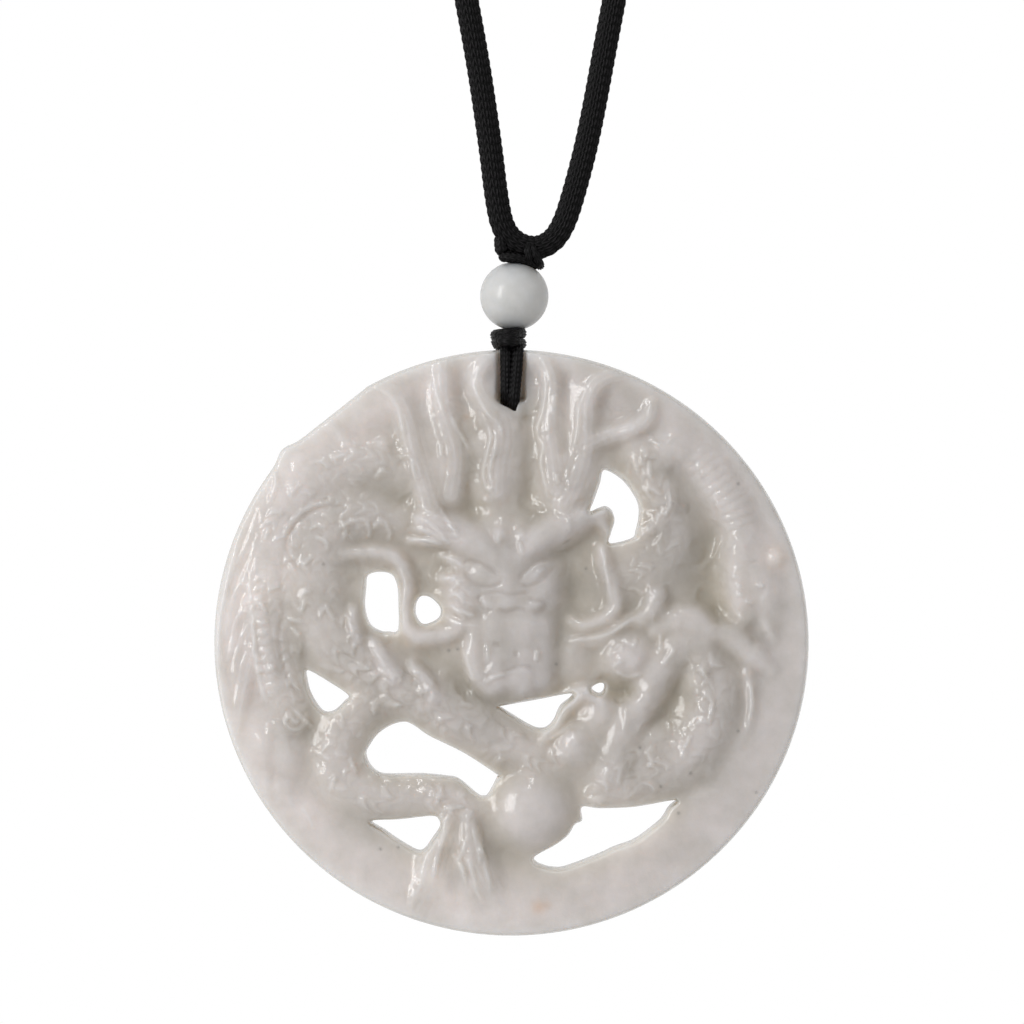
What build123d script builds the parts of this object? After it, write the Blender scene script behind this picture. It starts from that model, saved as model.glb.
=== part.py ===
from build123d import *
import math
import os
from collections import namedtuple
import numpy as np
from scipy.spatial import Delaunay

os.makedirs("parts", exist_ok=True)

# Jade dragon pendant on a braided neck cord, in millimetres. It hangs with its front to -Y and +Z up.
# The origin is where the nape knot rests on the back of the neck.

# Driving dimensions: the jade
DISC_RADIUS = 26.45
DISC_HEIGHT_RATIO = 0.986
DISC_THICKNESS = 8.0
BACK_BEVEL = 0.6
CARVING_STEP = 0.70
BEAD_DIAMETER = 6.1
BORE_DIAMETER = 1.7

# Driving dimensions: the cords
NECK_CORD_DIAMETER = 2.2
THIN_CORD_DIAMETER = 1.0
THREAD_DIAMETER = 1.4
KNOT_DIAMETER = 2.9
NAPE_KNOT_LENGTH = 12.0
NAPE_KNOT_DIAMETER = 5.5

# Driving dimensions: where things hang
DROP = 258.92
DEPTH = 111.25
CLEARANCE = 0.30
SMALL_GAP = 0.05
BACK_SHARE = 0.2

# Places that follow from those sizes
DISC_TOP = -DROP
DISC_Z = DISC_TOP - DISC_RADIUS * DISC_HEIGHT_RATIO
BRIDGE_Y = -DEPTH
BACK_Y = BRIDGE_Y + BACK_SHARE * DISC_THICKNESS
SHARE = DISC_RADIUS / 100
KNOT_BOTTOM = DISC_TOP + CLEARANCE
INNER_ROOM = 0.55
LEAST_AREA = 1e-6


# The carving, in hundredths of the disc's radius across it and shares of its thickness up from the back.
FLOOR = 0.42
GROUND_SINK = 0.30
RIM_CREST = 0.54
RIM_SLOPE = 8.0
EDGE_MELT = 0.02
EDGE_CURVE = 0.75
GRID_REACH = 108.0
GRID_STEP = 0.5
BROAD_MELT = 1.8
FINE_MELT = 0.75
FINE_SHARE = 0.80
MIDDLE = 0.60
DEPTH_SHARE = 0.70
FLAT_AT = 97.7
FLAT_ANGLE = 128.3
CORNER_RISE = 1.5
CORNER_ANGLE = 140.0
CORNER_SPREAD = 2.2
HOLE_REACH = 9.0
MARK_REACH = 2.5
ROW_RISE = math.sqrt(0.75)
OUTER_LEAST = 0.30
OUTER_REACH = 7.0
INNER_LEAST = 0.24
INNER_REACH = 5.0

# Where the strands lie over the stone's bridge
SEAT_HIGH = 0.395
SEAT_SLOPE = 0.05
SEAT_HALF = 5.0
SEAT_LOW = 82.0

# How flat a kind of form is on top, and how far it melts into what lies round it
Kind = namedtuple("Kind", "crown melt")
MASS_KIND = Kind(0.7, 0.06)
COIL_KIND = Kind(0.45, 0.05)
BALL_KIND = Kind(0.6, 0.05)
LOCK_KIND = Kind(0.5, 0.05)
FAN_KIND = Kind(0.8, 0.03)
FACE_KIND = Kind(0.6, 0.04)
FEATURE_KIND = Kind(0.7, 0.03)

# Broad ground: oval domes at u, v with their half sizes, turn and height
Ball = namedtuple("Ball", "name u v long wide turn high")
MASSES = [
    Ball("crest_left", -26, 62, 14, 28, 0, 0.665),
    Ball("crest_middle", -4, 67, 16, 31, 0, 0.69),
    Ball("crest_right", 19, 62, 17, 29, 0, 0.70),
    Ball("left_arch", -58, 52, 26, 22, 30, 0.56),
    Ball("left_side", -60, 14, 20, 26, 0, 0.52),
    Ball("neck_mass", 45, 26, 19, 19, 0, 0.56),
    Ball("tuft_mass", -18, -74, 16, 23, 0, 0.655),
    Ball("paw_left", -79, -33, 12, 14, 0, 0.62),
    Ball("hand_mass", 28, -38, 15, 13, 30, 0.68),
    Ball("shoulder", 60, 1, 13, 9, 0, 0.66),
    Ball("throat", -16, -4, 16, 12, 0, 0.54),
    Ball("right_strips", 81, 24, 13, 28, 0, 0.58),
    Ball("upper_left", -52, 76, 20, 12, 40, 0.56),
]

# The body: bars along paths, with half widths and crest heights spread evenly along each
Lock = namedtuple("Lock", "name path wide high")
COILS = [
    Lock("left_coil", ((-37, 57), (-50, 61), (-64, 57), (-75, 46), (-81, 31), (-82, 15), (-80, 0),
         (-76, -14), (-72, -25)),
         (7, 9, 10.5, 10.5, 9.5, 9, 9, 8, 6), (0.63, 0.66, 0.67, 0.67, 0.67, 0.66, 0.64, 0.60, 0.54)),
    Lock("inner_body", ((-38, 41), (-49, 43), (-60, 40), (-66, 31), (-67, 19), (-64, 7), (-57, -2),
         (-46, -9), (-34, -16)),
         (6, 9, 11.5, 12.5, 12.5, 12, 11, 10, 9.5), (0.60, 0.66, 0.69, 0.70, 0.69, 0.68, 0.70, 0.71, 0.68)),
    Lock("crossing", ((-36, -15), (-21, -23), (-8, -30), (4, -36), (16, -41)), (10, 10, 9.5, 8, 6),
         (0.68, 0.66, 0.64, 0.62, 0.58)),
    Lock("tail_bend", ((-42, -16), (-53, -24), (-59, -35), (-57, -46), (-46, -52), (-33, -52),
         (-21, -52.5), (-12, -56)),
         (8, 8.5, 8.6, 8.6, 8, 7.6, 7, 5), (0.62, 0.64, 0.67, 0.68, 0.68, 0.66, 0.66, 0.64)),
    Lock("right_coil", ((64, -2), (68, -13), (67.5, -25), (61, -36), (52, -43), (40, -47.5), (28, -51)),
         (6, 9, 9.5, 9.5, 9, 7.5, 5.5), (0.66, 0.72, 0.73, 0.73, 0.70, 0.66, 0.60)),
    Lock("neck", ((41, 67), (47, 57), (52, 46), (53, 35), (47, 24), (38, 18)), (5, 7, 8, 9, 9.5, 8),
         (0.60, 0.63, 0.64, 0.63, 0.61, 0.58)),
    Lock("belly_upper", ((61, 64), (68, 55), (74, 46), (77, 38)), (4.6, 6.4, 6.6, 5),
         (0.60, 0.67, 0.70, 0.68)),
    Lock("belly_inner", ((75, 34), (75.5, 26), (76.2, 16), (77, 7)), (4, 3.6, 3.2, 2),
         (0.68, 0.71, 0.71, 0.62)),
    Lock("belly_outer", ((80, 36), (82.5, 26), (85.5, 16), (88, 7)), (4.4, 4.6, 4.4, 2.4),
         (0.67, 0.70, 0.70, 0.60)),
    Lock("belly_left", ((-85, 20), (-84, 8), (-82.5, -3), (-81, -12), (-79.5, -21)), (2.4, 3, 3, 2.6, 1.5),
         (0.62, 0.70, 0.70, 0.67, 0.58)),
]

# Domes and ovals: the head, paws, knuckles and the pearl
BALLS = [
    Ball("head", 0, 24, 23, 23, 0, 0.84),
    Ball("cheek_right", 14, 17, 10, 13, 0, 0.79),
    Ball("cheek_left", -14, 17, 10, 13, 0, 0.80),
    Ball("muzzle", 0.5, 0, 15, 20, 0, 0.86),
    Ball("chin", 3, -12, 11.5, 8, 0, 0.90),
    Ball("joint", 53, 64.5, 9, 8, 20, 0.70),
    Ball("paw_right", 39.3, -4.5, 9.2, 9.4, 0, 0.86),
    Ball("knob", 20.8, -34, 7, 8.4, -20, 0.84),
    Ball("fist", 34, -42, 9.5, 5, 58, 0.82),
    Ball("hand", 30, -24, 9, 8, 30, 0.74),
    Ball("pearl", 7.4, -56.2, 15.6, 14.8, 0, 0.94),
    Ball("finger_1", -84.6, -35.5, 4.6, 12, 0, 0.70),
    Ball("finger_2", -74.5, -36, 5.6, 12, 0, 0.74),
]

# Broad hollows, sunk before the finer forms: half width and depth
Mark = namedtuple("Mark", "name path wide deep")
PITS = [
    Mark("pit_right", ((69, 42), (67.5, 31), (67, 21), (69, 12)), 5.2, 0.20),
    Mark("pit_right_low", ((63, 20), (66, 14), (70, 11)), 3.4, 0.08),
    Mark("pit_arch", ((-49, 54), (-42, 52.5), (-36, 47.5)), 3.0, 0.13),
    Mark("pit_arch_line", ((-56, 48.5), (-65, 46.5), (-72, 41), (-75.5, 34), (-76, 24), (-74, 10)),
         1.7, 0.02),
    Mark("pit_arch_top", ((-53, 71), (-48, 71.5), (-43, 72.5)), 3.2, 0.07),
    Mark("pit_bend", ((-68, -28), (-69, -40), (-65, -50), (-56, -60)), 2.6, 0.10),
    Mark("pit_side", ((-57, 22), (-55, 14), (-55, 8)), 4.0, 0.06),
    Mark("pit_forehead", ((-17, 50), (-14, 45), (-8, 41)), 2.4, 0.05),
    Mark("pit_tail_foot", ((-47, -62), (-38, -70), (-30, -76)), 3.0, 0.05),
    Mark("pit_pearl_foot", ((-4, -68), (2, -74), (12, -78)), 3.0, 0.05),
    Mark("pit_coil_edge", ((69, 3), (75, -9), (77.2, -18), (75.5, -27), (70, -37)), 1.5, 0.08),
    Mark("pit_wrist", ((26, -45), (29, -48), (34, -52)), 3.4, 0.07),
]

# Finer bars: horns, mane, whiskers, toes and hair
LOCKS = [
    Lock("horn_left", ((-27, 46), (-30, 55), (-33, 65), (-35, 75), (-39, 83), (-45, 88)),
         (5.5, 5.5, 5, 5, 5, 3.5),
         (0.72, 0.71, 0.69, 0.67, 0.63, 0.56)),
    Lock("horn_middle", ((-24, 95), (-23.6, 88), (-23, 80), (-21, 71), (-19, 62), (-20, 50)),
         (4, 5, 5.2, 5.6, 6, 5.5),
         (0.58, 0.64, 0.66, 0.67, 0.68, 0.69)),
    Lock("curl_left", ((-5, 98), (-10.5, 92), (-11.4, 86), (-8.4, 80), (-4.4, 75), (-3.4, 68), (-4.6, 60),
         (-4.6, 51)),
         (2.6, 3.8, 4.2, 4.6, 5.6, 6, 6, 5), (0.58, 0.66, 0.69, 0.71, 0.72, 0.72, 0.72, 0.72)),
    Lock("lock_right", ((10, 96), (13, 89), (13.2, 80), (12.4, 72), (13.4, 63), (15, 52)),
         (2.5, 3.8, 3.9, 4.2, 5, 6),
         (0.58, 0.66, 0.68, 0.70, 0.72, 0.74)),
    Lock("antler", ((18, 46), (22, 55), (24.8, 65), (25.2, 74), (26, 82), (30, 88), (37, 90.5)),
         (7, 6.6, 5, 4.6, 4.6, 4.4, 3), (0.77, 0.76, 0.75, 0.73, 0.70, 0.66, 0.58)),
    Lock("antler_branch", ((24, 65), (31.5, 69), (39.5, 71.5), (45.5, 75), (47, 80.5)),
         (4.4, 4.2, 4, 3.8, 2.6),
         (0.73, 0.72, 0.70, 0.67, 0.60)),
    Lock("fin", ((52.5, 54), (53.5, 47), (50, 41), (43.5, 36)), (2, 3.4, 3.8, 2), (0.62, 0.70, 0.70, 0.62)),
    Lock("whisker_left", ((-57, 30), (-46, 30.4), (-38.5, 28.5), (-34.8, 21), (-35.4, 13), (-35.2, 6),
         (-31, 2.2), (-24, 2.4), (-16, 5)),
         (2.4, 3.4, 3.4, 3.1, 2.8, 3.1, 3.8, 4, 3), (0.66, 0.69, 0.70, 0.70, 0.70, 0.71, 0.72, 0.73, 0.76)),
    Lock("whisker_right", ((30.4, 32), (31.5, 26), (34, 19), (35.2, 12.5), (31.2, 8), (24, 6), (20, 8)),
         (2, 3, 3.6, 3.8, 3.4, 3, 2), (0.68, 0.71, 0.73, 0.74, 0.73, 0.70, 0.66)),
    Lock("whisker_knob", ((47.4, 14.6), (47.2, 11), (45, 7)), (3.4, 3.6, 3.4), (0.78, 0.80, 0.78)),
    Lock("strand_right", ((20, 0.8), (27, 1.4), (33, 3.6), (40, 7.6), (45, 9)), (0.9, 1.6, 2, 2.4, 2.6),
         (0.66, 0.74, 0.76, 0.78, 0.78)),
    Lock("strand_low", ((25.5, -1.4), (29, -0.4), (33, 2.4)), (0.8, 1.2, 1), (0.64, 0.70, 0.70)),
    Lock("shoulder_band", ((48, 6), (54, 9), (60, 9.6), (66, 7)), (3, 3.8, 3.8, 3),
         (0.74, 0.78, 0.78, 0.74)),
    Lock("forearm", ((67, 2.5), (59, -4), (53, -12), (47, -20), (41, -29), (36, -37)),
         (4.4, 5.2, 5, 4.8, 4.6, 4.2),
         (0.74, 0.79, 0.80, 0.79, 0.79, 0.78)),
    Lock("claw_pearl", ((10, -34), (13.5, -28), (17.5, -22), (23, -17), (29, -17)), (1.4, 3, 3.6, 3.6, 3),
         (0.62, 0.70, 0.75, 0.76, 0.72)),
    Lock("flame", ((67, 4), (74, 1.6), (81, -3.4), (88, -10)), (3.4, 4.6, 4.6, 1.8),
         (0.72, 0.76, 0.74, 0.58)),
    Lock("flame_tip", ((84, 9), (86, 5), (88.5, 1)), (1.4, 2.2, 1.2), (0.60, 0.68, 0.60)),
    Lock("toe_left_1", ((-53, 11), (-52.5, 5), (-51.6, 0)), (2.4, 3.2, 2.6), (0.74, 0.80, 0.78)),
    Lock("toe_left_2", ((-46.5, 1), (-43, -4.5), (-39, -12)), (1.8, 3.4, 4), (0.76, 0.82, 0.82)),
    Lock("toe_left_3", ((-33.5, -6.5), (-29.5, -11.5), (-25.5, -18)), (1.8, 3.2, 3.6), (0.73, 0.80, 0.80)),
    Lock("nail_1", ((-82.5, -45), (-81.5, -50), (-80.5, -53)), (1.4, 1.4, 0.8), (0.64, 0.62, 0.56)),
    Lock("nail_2", ((-78.6, -46), (-77.6, -51), (-76.6, -54)), (1.5, 1.5, 0.8), (0.66, 0.64, 0.56)),
    Lock("nail_3", ((-75.4, -47), (-74.4, -52), (-72.6, -56)), (1.3, 1.3, 0.8), (0.66, 0.62, 0.56)),
    Lock("rim_bit", ((60, -52.2), (64, -51), (68.4, -49.4)), (1.3, 1.6, 1.9), (0.58, 0.60, 0.62)),
    Lock("rim_groove_lip", ((79, -9), (80.3, -17), (79.8, -27), (75, -36)), (0.9, 1.3, 1.3, 0.6),
         (0.58, 0.63, 0.62, 0.55)),
    Lock("left_ridge", ((-88, 26), (-87.6, 12), (-86.5, 1), (-84.5, -9), (-81.5, -20)),
         (0.8, 1, 1.1, 1.1, 0.6),
         (0.62, 0.66, 0.66, 0.64, 0.58)),
    Lock("arch_ridge", ((-62, 74.5), (-58, 71), (-53.5, 65.5)), (1.4, 2.2, 1.6), (0.62, 0.66, 0.66)),
    Lock("flow_1", ((66, 70), (72, 58), (78.5, 46)), (1.2, 1.6, 1.0), (0.58, 0.60, 0.60)),
    Lock("flow_2", ((75, 62), (83, 49), (88, 39)), (1.2, 1.6, 1.0), (0.55, 0.58, 0.58)),
    Lock("tuft_left", ((-20, -56), (-24, -64), (-28.5, -74), (-31, -84), (-34, -92)), (4, 5.4, 5.6, 5, 2),
         (0.68, 0.70, 0.68, 0.62, 0.54)),
    Lock("tuft_right", ((-14, -56), (-13.5, -65), (-10, -76), (-4, -86)), (4, 5, 5.4, 3),
         (0.68, 0.70, 0.67, 0.56)),
]

# Fans of strands: even steps from the first path to the last
Fan = namedtuple("Fan", "name first last count wide high")
FANS = [
    Fan("brow_hair", ((-18, 34), (-26, 34), (-34, 34.6)), ((-18, 40), (-25, 42.5), (-31, 46)),
         4, (2.2, 2.0, 0.8),
        (0.92, 0.88, 0.78)),
    Fan("cheek", ((-12, 6), (-17, 6.5), (-22, 8.5)), ((-13, 16), (-17, 19), (-20, 21.5)),
         4, (1.8, 1.7, 0.8),
        (0.88, 0.85, 0.76)),
    Fan("temple", ((-16, 21), (-20, 21.5), (-24, 22)), ((-16, 26), (-20, 28), (-24, 29.5)),
         2, (2.2, 2, 0.8),
        (0.88, 0.86, 0.78)),
    Fan("rim_hair", ((-88, 42), (-94, 27), (-98, 8), (-98.5, -12)), ((-87.5, 16), (-88.5, 3), (-91, -12),
         (-91.5, -34)), 5,
        (0.8, 2.2, 2.4, 0.8), (0.54, 0.60, 0.60, 0.52)),
]

# The face: bars first, then the domes on them
FACE = [
    Lock("brow_left", ((-3.6, 27.5), (-8.5, 31.5), (-16, 35.5), (-24, 39), (-30, 41.5)),
         (3.6, 6.4, 7.4, 6.2, 3.4),
         (0.90, 0.94, 0.94, 0.90, 0.82)),
    Lock("brow_right", ((3, 28.6), (8.5, 34), (15, 38), (22, 41.4), (28, 43.6), (32.4, 44)),
         (3.4, 6.4, 6.8, 5.6, 3.8, 1.8),
         (0.90, 0.94, 0.93, 0.88, 0.80, 0.68)),
    Lock("ear_right", ((26, 42), (30, 41), (33.5, 36)), (2.4, 3, 1.6), (0.76, 0.72, 0.62)),
    Lock("bridge", ((-1.4, 31), (-1.4, 24), (-1.6, 17)), (3, 3.2, 4.4), (0.92, 0.92, 0.94)),
    Lock("lip", ((-13, 5), (-7, 6.6), (0, 7), (7, 6.6), (13, 5)), (2.6, 3.2, 3.4, 3.2, 2.6),
         (0.86, 0.885, 0.89, 0.885, 0.86)),
    Lock("jaw_left", ((-13, 5), (-13.6, -3), (-12, -11), (-7, -16)), (2.2, 2.6, 2.6, 2.2),
         (0.85, 0.87, 0.87, 0.85)),
    Lock("jaw_right", ((13, 5), (12.6, -4), (12, -12)), (2.4, 2.4, 2.4), (0.84, 0.855, 0.84)),
    Lock("fang_left", ((-8.6, 1), (-8.4, -4), (-8.6, -9)), (1.6, 1.6, 0.8), (0.885, 0.89, 0.87)),
    Lock("fang_right", ((9, 1), (9, -3), (8.8, -7)), (1.6, 1.4, 0.7), (0.88, 0.88, 0.86)),
    Lock("beard_left", ((-16, -2), (-14.4, -8), (-12, -14)), (1.0, 1.3, 0.8), (0.78, 0.80, 0.79)),
    Lock("teeth", ((-3, -3.4), (1.4, -4), (5.8, -3.4)), (1.3, 1.5, 1.3), (0.87, 0.88, 0.87)),
]

FEATURES = [
    Ball("forehead", -4, 36.4, 2.6, 3.2, 20, 0.96),
    Ball("forehead_right", 3.4, 36, 2.4, 2.8, -30, 0.93),
    Ball("nose", -1.8, 14.4, 7, 4.8, 0, 0.975),
    Ball("wing_left", -9, 13.6, 3.2, 3.6, 0, 0.94),
    Ball("wing_right", 7.4, 14.2, 4.2, 4, 70, 0.93),
    Ball("eye_left", -11, 23.2, 5.6, 2.6, -26, 0.90),
    Ball("eye_right", 8, 23.2, 6, 2.9, 36, 0.905),
    Ball("nub", 89, 29, 3.6, 3.2, -20, 0.76),
    Ball("small_ball", 20, -2.6, 2.2, 2.2, 0, 0.68),
    Ball("side_ball", -60, 6.4, 3, 2.6, 0, 0.74),
    Ball("arch_ball", -43.4, 66.4, 4.4, 3.6, 0, 0.64),
    Ball("rim_ball", 66.2, -43, 1.8, 1.8, 0, 0.68),
    Ball("knuckle", 30.5, -19.5, 3.4, 3, 0, 0.76),
]

# Narrow hollows, sunk after the finer forms
HOLLOWS = [
    Mark("hollow_horns", ((-32, 85), (-30, 75), (-26.6, 63)), 2.6, 0.10),
    Mark("hollow_middle", ((-17.4, 92), (-16, 82), (-11.4, 71)), 2.3, 0.11),
    Mark("hollow_middle_low", ((-12, 62), (-13.6, 52), (-12, 43)), 2.6, 0.09),
    Mark("hollow_centre", ((5.4, 75), (6.2, 64), (5.8, 50)), 2.2, 0.11),
    Mark("hollow_centre_foot", ((6, 56), (5.4, 48)), 3.4, 0.10),
    Mark("hollow_lock", ((18.6, 89), (18.4, 78), (18, 65)), 1.5, 0.11),
    Mark("hollow_branch", ((31.5, 80), (36, 79.5), (41.5, 81.5)), 4.4, 0.09),
    Mark("hollow_forearm", ((58, -14), (53.5, -21), (47.5, -29.5)), 3.6, 0.24),
    Mark("hollow_cheek", ((25.4, 27), (25, 20), (25, 13)), 3.8, 0.14),
    Mark("hollow_whisker", ((41, 19), (43, 14)), 3.4, 0.06),
    Mark("hollow_throat", ((-27, -4), (-20, -7), (-15.6, -15)), 3.2, 0.08),
    Mark("hollow_jaw", ((17.4, 2), (16.4, -6), (17, -15)), 2.8, 0.10),
    Mark("hollow_cord", ((0, 98), (0.5, 91), (0.5, 84)), 5.0, 0.20),
    Mark("hollow_cord_right", ((6.4, 90), (6.6, 83), (4.6, 77)), 2.6, 0.14),
    Mark("hollow_oval", ((32, -14.6), (36, -16), (39.4, -16.4)), 2.3, 0.22),
    Mark("hollow_eye_left", ((-16, 27), (-10, 27.4), (-5, 23.5)), 1.0, 0.03),
    Mark("hollow_eye_left_low", ((-15.6, 22.5), (-10, 19.6), (-5, 19.6)), 1.1, 0.04),
    Mark("hollow_eye_right", ((2.8, 22.4), (7, 27.6), (13.4, 28.6)), 1.1, 0.045),
    Mark("hollow_eye_right_low", ((3, 20), (8.6, 19.4), (13, 24.4)), 1.1, 0.045),
    Mark("hollow_nose", ((-12, 10.2), (-4, 9.4), (5, 9.4), (11, 10.8)), 1.1, 0.04),
    Mark("hollow_brows", ((0.6, 42), (-0.4, 37), (-0.2, 33)), 1.5, 0.05),
    Mark("hollow_temple", ((14.6, 30), (18, 24), (18.6, 17)), 2.2, 0.06),
    Mark("hollow_mouth", ((-4, 0.6), (1, 1), (6.4, 0.4)), 1.5, 0.06),
    Mark("hollow_mouth_low", ((-5, -7.6), (1, -7.2), (6, -7.6)), 1.2, 0.03),
    Mark("hollow_fingers", ((-79.6, -27), (-79.8, -36), (-79.4, -46)), 1.0, 0.06),
    Mark("hollow_tip", ((80, 4), (82.5, 1)), 2.0, 0.07),
    Mark("hollow_tuft", ((-19.6, -72), (-19.4, -79), (-18, -86)), 2.4, 0.05),
    Mark("hollow_knob", ((12, -38), (17, -41), (25, -42.6), (29, -36)), 1.3, 0.05),
]

# Openings cut right through, as closed curves
HOLES = {
    "tall_left": ((-49, 19), (-48.5, 22.5), (-45, 23.8), (-40.5, 23), (-38.6, 19.5), (-38.1, 13),
         (-38.3, 4.3), (-41.6, 3.7),
                  (-44.3, 4), (-47.7, 6.3), (-49.4, 12)),
    "round_left": ((-31.8, 14), (-30.2, 15.7), (-27.3, 15.2), (-24.4, 12.5), (-23.8, 10.3), (-24.8, 8.1),
         (-28.3, 6.3),
                   (-30.6, 6.6), (-32.2, 9.3), (-32.3, 12)),
    "wedge_left": ((-68.6, -9.3), (-62, -12.9), (-55.1, -17.6), (-56.4, -19.7), (-59.1, -22.4),
         (-61.6, -23.4), (-64.2, -22.4),
                   (-67.5, -17.3), (-68.9, -12.3)),
    "long_left": ((-49, -37.6), (-47.7, -34.5), (-45, -30.8), (-40.6, -27.8), (-35.9, -26.7),
         (-32.5, -28.1), (-27.5, -31.5),
                  (-16, -37.2), (-5.1, -44.3), (-4.9, -45.3), (-7.9, -51), (-9.6, -51.7), (-11.6, -51),
         (-17.7, -46),
                  (-21.7, -45), (-30.2, -44.2), (-38.6, -44.3), (-44, -44), (-47.3, -41.6)),
    "wedge_bottom": ((-47, -60.1), (-37.6, -59.5), (-26.8, -58.4), (-24.4, -59.8), (-24.2, -62),
         (-26.4, -65.5), (-30.5, -70.1),
                     (-36.9, -67.2), (-42.6, -63.3)),
    "under_jaw": ((-3.6, -21.4), (7.6, -19.4), (20.4, -17.2), (16.3, -21.4), (14.3, -25.8), (12, -28.3),
         (9.1, -28.8),
                  (5.9, -27.6), (0.5, -24.4), (-3.2, -22)),
    "pin_hole": ((27, -15.3), (29.5, -13.6), (31.2, -14), (30.8, -16.3), (29.1, -17)),
    "crescent_bottom": ((23.8, -55.4), (29.8, -55.8), (41.6, -55.3), (54.7, -53.1), (53, -55.3),
         (51, -58.6), (48.7, -61),
                        (41.6, -66.2), (34.5, -68.9), (29.8, -71.1), (18.7, -75.3), (14, -75.8),
         (9.3, -74.6), (7.5, -72.8),
                        (9.3, -71.1), (14.7, -68.2), (19, -64.9), (21.4, -61.2), (23.8, -59.8)),
    "crescent_top": ((31.2, 58.1), (36.2, 55.8), (39.9, 51.9), (42.6, 47), (42.9, 42.6), (41.9, 37.9),
         (40.6, 35.2),
                     (33.2, 33.5), (33.5, 36.9), (34.7, 40.9), (33.9, 44.3), (31.7, 46), (29.1, 45.3),
         (26.4, 44.3),
                     (27.8, 48), (29.8, 53.7)),
    "cord_hole": ((-4.6, 82.2), (-2.4, 84), (2.4, 84), (4.6, 82.2), (4.6, 79), (2.8, 77.2), (-2.8, 77.2),
         (-4.6, 79)),
}

# The rim: the angle from the right side, in degrees, and where its flat band starts
Rim = namedtuple("Rim", "angle start")
RIM_ROWS = [
    Rim(-180, 97), Rim(-160, 95), Rim(-145, 84), Rim(-130, 78), Rim(-110, 78), Rim(-90, 79), Rim(-70, 78),
    Rim(-50, 76), Rim(-35, 78), Rim(-20, 84), Rim(-5, 90), Rim(15, 91), Rim(30, 92), Rim(45, 91),
         Rim(60, 90),
    Rim(75, 92), Rim(90, 94), Rim(105, 90), Rim(118, 84), Rim(135, 84), Rim(150, 92), Rim(180, 97),
]


def smooth_path(points, closed=False, steps=7):
    """A Catmull-Rom curve through the points."""
    p = np.array(points, float)
    if closed:
        p = np.vstack([p[-1], p, p[0], p[1]])
    else:
        p = np.vstack([2 * p[0] - p[1], p, 2 * p[-1] - p[-2]])
    places = []
    for a, b, c, d in zip(p, p[1:], p[2:], p[3:]):
        for k in range(steps):
            t = k / steps
            bend = (2 * a - 5 * b + 4 * c - d) * t * t + (3 * b - a - 3 * c + d) * t ** 3
            places.append(0.5 * (2 * b + (c - a) * t + bend))
    if not closed:
        places.append(p[-2])
    return np.array(places)


def along(values, share):
    """Values spread evenly along a path, read at a share of it."""
    return np.interp(share, np.linspace(0, 1, len(values)), values)


def nearest(u, v, curve):
    """Distance to a curve, its signed side, and the share and the length of it at the nearest place."""
    best = np.full(u.shape, 1e9)
    side = np.zeros(u.shape)
    share = np.zeros(u.shape)
    run = np.zeros(u.shape)
    travelled = 0.0
    for i, (a, b) in enumerate(zip(curve, curve[1:])):
        s = b - a
        length = math.hypot(*s)
        t = np.clip(((u - a[0]) * s[0] + (v - a[1]) * s[1]) / length ** 2, 0, 1)
        du, dv = u - a[0] - t * s[0], v - a[1] - t * s[1]
        far = np.hypot(du, dv)
        closer = far < best
        best = np.where(closer, far, best)
        side = np.where(closer, np.sign(s[0] * dv - s[1] * du), side)
        share = np.where(closer, (i + t) / (len(curve) - 1), share)
        run = np.where(closer, travelled + t * length, run)
        travelled += length
    return best, side, share, run


def smooth_max(a, b, k):
    h = np.clip(0.5 + 0.5 * (a - b) / k, 0, 1)
    return b + (a - b) * h + k * h * (1 - h)


def around(u, v, curve, reach):
    """Which places lie in the box round a curve."""
    low, high = curve.min(0) - reach, curve.max(0) + reach
    return (u > low[0]) & (u < high[0]) & (v > low[1]) & (v < high[1])


def add_stroke(z, u, v, stroke, kind):
    """Raises a rounded bar along a path."""
    curve = smooth_path(stroke.path)
    near = around(u, v, curve, max(stroke.wide) + GRID_STEP)
    far, _, share, _ = nearest(u[near], v[near], curve)
    q = far / along(stroke.wide, share)
    rise = np.clip(1 - q * q, 0, 1) ** kind.crown
    bar = GROUND_SINK + (along(stroke.high, share) - GROUND_SINK) * rise
    z[near] = np.where(q < 1, smooth_max(z[near], bar, kind.melt), z[near])


def add_ball(z, u, v, b, kind):
    """Raises an oval dome."""
    c, s = math.cos(math.radians(b.turn)), math.sin(math.radians(b.turn))
    du, dv = u - b.u, v - b.v
    q = np.hypot((du * c + dv * s) / b.long, (-du * s + dv * c) / b.wide)
    rise = np.clip(1 - q * q, 0, 1) ** kind.crown
    dome = GROUND_SINK + (b.high - GROUND_SINK) * rise
    z[:] = np.where(q < 1, smooth_max(z, dome, kind.melt), z)


def sink_mark(z, u, v, mark):
    """Sinks a soft groove along a path."""
    curve = smooth_path(mark.path)
    near = around(u, v, curve, MARK_REACH * mark.wide)
    far, _, _, _ = nearest(u[near], v[near], curve)
    z[near] -= mark.deep * np.exp(-(far / mark.wide) ** 2)


def fan_strokes(fan):
    """The strokes of a fan: even steps from its first path to its last."""
    for share in np.linspace(0, 1, fan.count):
        path = np.array(fan.first) * (1 - share) + np.array(fan.last) * share
        yield Lock(fan.name, path, fan.wide, fan.high)


def softened(grid, spread):
    """A grid of heights with its forms melted together."""
    reach = math.ceil(3 * spread)
    taps = np.exp(-0.5 * (np.arange(-reach, reach + 1) / spread) ** 2)
    taps /= taps.sum()
    for axis in (0, 1):
        margin = [(reach, reach) if k == axis else (0, 0) for k in (0, 1)]
        padded = np.pad(grid, margin, mode="edge")
        size = grid.shape[axis]
        grid = sum(w * np.take(padded, range(k, k + size), axis) for k, w in enumerate(taps))
    return grid


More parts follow.
